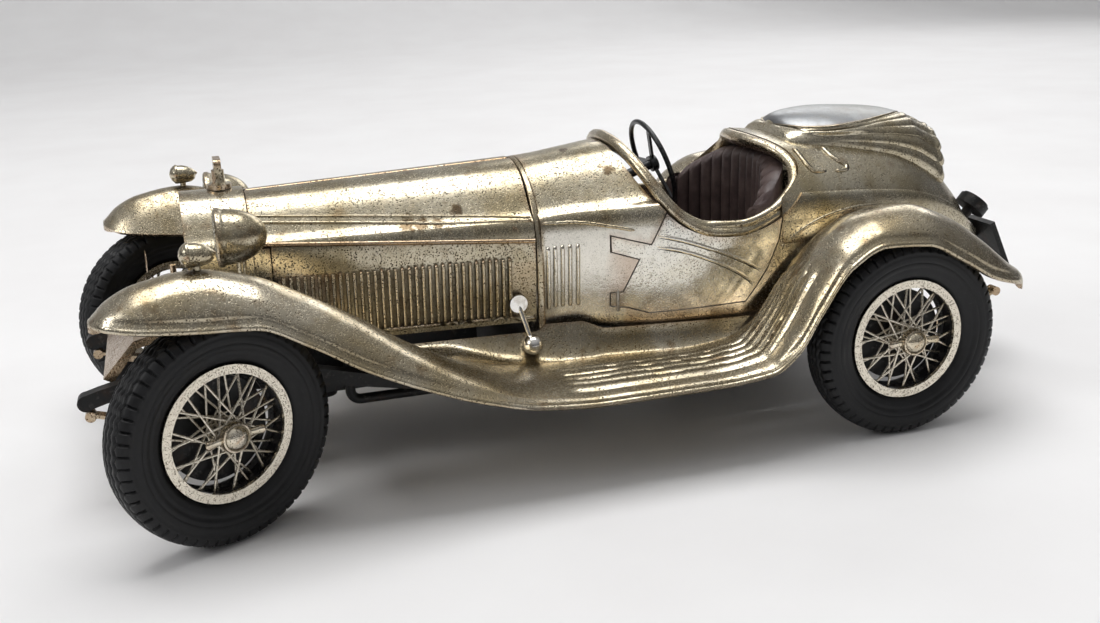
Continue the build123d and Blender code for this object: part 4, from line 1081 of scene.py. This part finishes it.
def build_seat_cushion():
    """Crowned bench cushion with front-to-back pleats and a rounded border."""
    loops = []
    middle, half_length, half_width, low_z = 48.0, 9.2, 20.2, 24.2
    for y in np.linspace(-half_width, half_width, cushion_pleats * 10 + 1):
        edge = abs(y) / half_width
        fall = (1 - edge ** 8) ** 0.5
        phase = abs(math.sin(math.pi * cushion_pleats * (y + half_width) / (2 * half_width))) ** 0.7
        height = (9.3 + 1.2 * (1 - edge ** 2)) * (0.35 + 0.65 * fall)
        loop = []
        for angle in np.linspace(0, math.pi, 40):
            c, s = math.cos(angle), math.sin(angle)
            x = middle + half_length * (0.9 + 0.1 * fall) * math.copysign(abs(c) ** 0.38, c)
            pleat = float(smoothstep(s, 0.35, 0.62)) * 0.75 * (phase - 0.6) * fall
            loop.append((x, y, low_z + height * abs(s) ** 0.42 + pleat))
        loop += [(middle - half_length * 0.8, y, low_z), (middle + half_length * 0.8, y, low_z)]
        loops.append(loop)
    closed_loft("seat_bench_cushion", loops, vinyl, replaced=["seat_cushion"],
                sharp_angle=50)


build_deck()
build_hood()
build_seat_back()
build_seat_cushion()


# ---- lamps and wheel interiors


def turned_along_x(name, profile, place, material, replaced=(), segments=48):
    """Body of revolution about a fore-and-aft line: profile of (x, radius) from a place."""
    for side_name, side in SIDES.items():
        rows = []
        for a in np.linspace(0, 2 * math.pi, segments, endpoint=False):
            rows.append([(place[0] + x, side * (place[1] + r * math.cos(a)), place[2] + r * math.sin(a))
                         for x, r in profile])
        vertices = to_frame(np.array(rows).reshape(-1, 3))
        faces = grid_faces(segments, len(profile), close_rows=True, close_columns=True)
        add_piece(f"{name}_{side_name}", vertices, faces, material, "car", replaced, 40)


def build_lamps():
    """Full-bellied headlight bowls with a stepped rim, and bullet side lamps on the wings."""
    headlight_place = (-67.3, 21.5, 54.9)
    bowl = [(-1.0, 0.02), (-1.0, 4.7), (-1.3, 5.0), (-1.35, 5.5), (-1.0, 5.95), (-0.3, 6.0), (0.1, 5.75),
            (0.5, 5.6)]
    belly = [(0.5 + 8.4 * t, 5.6 * math.sqrt(1 - t * t)) for t in np.linspace(0.04, 0.998, 26)]
    turned_along_x("headlight_bowl", bowl + belly + [(8.9, 0.02)], headlight_place, plate,
                   ["headlights"])
    glass = [(-1.65, 0.02), (-1.7, 1.5), (-1.6, 3.2), (-1.45, 4.6), (-1.1, 4.75), (-1.1, 0.02)]
    turned_along_x("headlight_glass", glass, headlight_place, lens_glass, ["headlight_lenses"])
    stay = curve_through([(-64.0, -21.5, 50.2), (-64.1, -21.3, 44.0), (-64.4, -20.2, 36.0),
                          (-64.4, -19.5, 28.5)], 30)
    stay_radius = 0.9
    loops = [[(x + stay_radius * math.cos(a), y + stay_radius * math.sin(a), z)
              for a in np.linspace(0, 2 * math.pi, 16, endpoint=False)] for x, y, z in stay]
    for side_name in SIDES:
        closed_loft(f"headlight_stay_{side_name}", on_side(loops, side_name), plate)
    bullet = [(-3.0, 0.02), (-2.9, 0.7), (-2.55, 1.45), (-2.0, 2.0), (-1.7, 2.15), (-1.5, 2.35), (-1.2, 2.35),
              (-1.0, 2.15), (0.2, 2.1), (1.5, 1.75), (2.6, 1.1), (3.3, 0.45), (3.7, 0.02)]
    turned_along_x("side_lamp_bullet", bullet, (-73.0, 43.5, 57.2), plate)


def build_wheel_liners():
    """Black inside of each rim, and the brake drum's face behind the wires."""
    liner = [(11.9, 1.6), (12.9, 1.9), (12.9, -2.95), (11.7, -2.95), (11.6, -2.2), (12.2, -1.6)]
    drum = [(3.4, -2.2), (9.3, -2.2), (9.9, -2.5), (9.9, -3.0), (3.4, -3.0)]
    add_on_wheels("rim_liner", revolved(liner, 96), plastic)
    add_on_wheels("drum_face", revolved(drum, 96), plastic)


build_lamps()
build_wheel_liners()


# ---- creases on the deck, scuttle and doors

strap_lines = [     # x, distance from the centre line
    [(64.0, 15.0), (64.2, 18.2), (64.8, 20.6), (66.2, 21.9), (68.6, 22.0)],
    [(71.6, 14.6), (71.9, 17.2), (73.2, 19.6), (74.8, 20.9), (74.2, 21.7), (71.4, 22.0)],
]
scuttle_line = [(0.6, 50.0), (7.4, 49.7), (14.6, 48.5), (20.5, 47.3)]
door_line_upper = [(25.4, 46.0), (30.4, 44.8), (36.1, 42.9), (42.0, 40.4), (46.2, 38.3), (50.2, 36.0)]
door_line_lower = [(25.2, 43.6), (30.4, 42.5), (36.1, 40.3), (42.0, 37.5), (46.5, 34.6), (48.6, 32.6)]
shoulder_line = [(55.0, 41.0), (58.5, 43.6), (62.0, 45.4), (66.0, 46.9), (71.0, 47.9), (76.5, 48.3),
                 (84.0, 47.6)]
door_skin = {side_name: surface_of(f"door_{side_name}") for side_name in SIDES}


def build_straps():
    """Two hooked straps on each side of the deck, each a bead beside a dark strip of painted groove shade."""
    for number, line in enumerate(strap_lines, 1):
        for side_name, side in SIDES.items():
            flat = curve_through([(x, side * y) for x, y in line], 60)
            path = np.array([(x, y, deck_height(x, abs(y)) + 0.12) for x, y in flat])
            outward = []
            for x, y, z in path:
                half_width, top, belt = hull_at(x)[0]
                outward.append((0.0, 2.2 * y / half_width ** 2, (z - belt) / (top - belt) ** 2))
            outward = unit_rows(np.array(outward))
            # Dark strip of painted shade where the strap's groove would be.
            swept_bead(f"deck_strap_groove_{number}_{side_name}", path, outward, half_round(0.55, 0.12),
                       painted_shade_black, taper=0.05)
            swept_bead(f"deck_strap_bead_{number}_{side_name}", path + np.array([-0.55, 0, 0.02]), outward,
                       half_round(0.9, 0.42), plate, taper=0.05)


def build_creases():
    """Fine raised creases; those on the doors have a dark line of painted shade along the lower side."""
    add_moulding("scuttle_crease", scuttle_line, 0.8, 0.30, body_skin, "car", plate, 50)
    add_moulding("shoulder_crease", shoulder_line, 0.9, 0.34, body_skin, "car", plate, 60,
                 0.12)
    for name, line in (("upper", door_line_upper), ("lower", door_line_lower)):
        add_moulding(f"door_crease_{name}", line, 0.85, 0.30, door_skin, "door_{}", bright_plate,
                     50, 0.12)
        # Painted shade: a dark line just under each door crease.
        shade = [(x, z - 0.50) for x, z in line]
        add_moulding(f"door_crease_shade_{name}", shade, 0.24, 0.03, door_skin, "door_{}", painted_shade_black,
                     50, 0.12)


build_straps()
build_creases()


# ---- stage, light and camera


def build_stage():
    """A pale table top that curves up into a pale wall (in metres)."""
    wall_y, radius, height, half, front_y = 1.6, 0.6, 2.2, 3.0, -2.5
    bend = [(wall_y - radius + radius * math.sin(a), radius - radius * math.cos(a))
            for a in np.linspace(0, math.pi / 2, 13)]
    profile = [(front_y, 0.0)] + bend + [(wall_y, height)]
    vertices = [(x, y, z) for y, z in profile for x in (half, -half)]
    mesh = bpy.data.meshes.new("backdrop")
    mesh.from_pydata(vertices, [], grid_faces(len(profile), 2))
    mesh.shade_smooth()
    backdrop = bpy.data.objects.new("backdrop", mesh)
    bpy.context.scene.collection.objects.link(backdrop)
    skin = Surface("pale_table")
    tone = skin.remap(skin.noise(60.0), 0.3, 0.7)
    skin.drive("Base Color", skin.mix(tone, (0.80, 0.79, 0.79), (0.84, 0.835, 0.835)))
    skin.drive("Roughness", 0.62)
    skin.drive("Emission Color", (1.0, 1.0, 1.0))
    # Painted light: the table glows faintly, from nothing near the car up to full toward the wall.
    skin.drive("Emission Strength", skin.remap(skin.axis("Y"), 0.15, 1.0, 0.0, 0.04))
    mesh.materials.append(skin.material)


def add_light(name, place, target, size, watts):
    """Square soft light aimed at a point."""
    data = bpy.data.lights.new(name, "AREA")
    data.shape = "RECTANGLE"
    data.size, data.size_y = size
    data.energy = watts
    light = bpy.data.objects.new(name, data)
    light.location = place
    light.rotation_mode = "QUATERNION"
    light.rotation_quaternion = (Vector(target) - Vector(place)).to_track_quat("-Z", "Y")
    bpy.context.scene.collection.objects.link(light)


def build_world():
    """A room that is bright above and dim around the camera, so that metal has something to mirror."""
    world = bpy.data.worlds.new("studio")
    bpy.context.scene.world = world
    room = NodeTree(world)
    height = room.node("SeparateXYZ", "Z", {"Vector": room.node("TexCoord", "Generated", {})})
    ramp = room.tree.nodes.new("ShaderNodeValToRGB")
    room.put(ramp.inputs["Fac"], room.remap(height, -0.1, 1.0))
    ramp.color_ramp.elements.new(0.35)
    greys = (0.10, 0.10, 0.10), (0.30, 0.30, 0.31), (1.0, 1.0, 1.0)
    for element, grey in zip(ramp.color_ramp.elements, greys):
        element.color = (*grey, 1)
    mirrored = room.node("Background", "Background", {"Color": ramp.outputs["Color"], "Strength": 0.5})
    seen = room.node("Background", "Background", {"Color": (0.86, 0.86, 0.86)})
    to_camera = room.node("LightPath", "Is Camera Ray", {})
    surface = room.node("MixShader", "Shader", {0: to_camera, 1: mirrored, 2: seen})
    output = room.tree.nodes.new("ShaderNodeOutputWorld")
    room.put(output.inputs["Surface"], surface)


def build_camera():
    """The camera stands ahead and to the left of the car and looks slightly down."""
    camera = bpy.data.objects.new("camera", bpy.data.cameras.new("camera"))
    bpy.context.scene.collection.objects.link(camera)
    heading, tilt, roll = (math.radians(angle) for angle in (-17.37, 72.83, -1.8))
    turned = Matrix.Rotation(heading, 4, "Z") @ Matrix.Rotation(tilt, 4, "X") @ Matrix.Rotation(roll, 4, "Z")
    camera.matrix_world = Matrix.Translation(to_frame((-75.0, -263.6, 109.4))) @ turned
    camera.data.sensor_width = 36.0
    camera.data.lens = 39.24
    camera.data.clip_start = 0.01
    camera.data.clip_end = 20.0
    bpy.context.scene.camera = camera


build_stage()
build_world()
build_camera()
add_light("top_softbox", (0.0, 0.10, 1.1), (0.0, 0.0, 0.0), (0.9, 0.7), 8.6)
add_light("left_softbox", (-0.9, -0.25, 0.70), (0.0, 0.0, 0.03), (0.4, 0.5), 3.0)
add_light("rear_softbox", (0.7, 0.9, 0.6), (0.0, 0.0, 0.03), (0.9, 0.5), 3.0)

bpy.context.scene.view_settings.view_transform = "Standard"
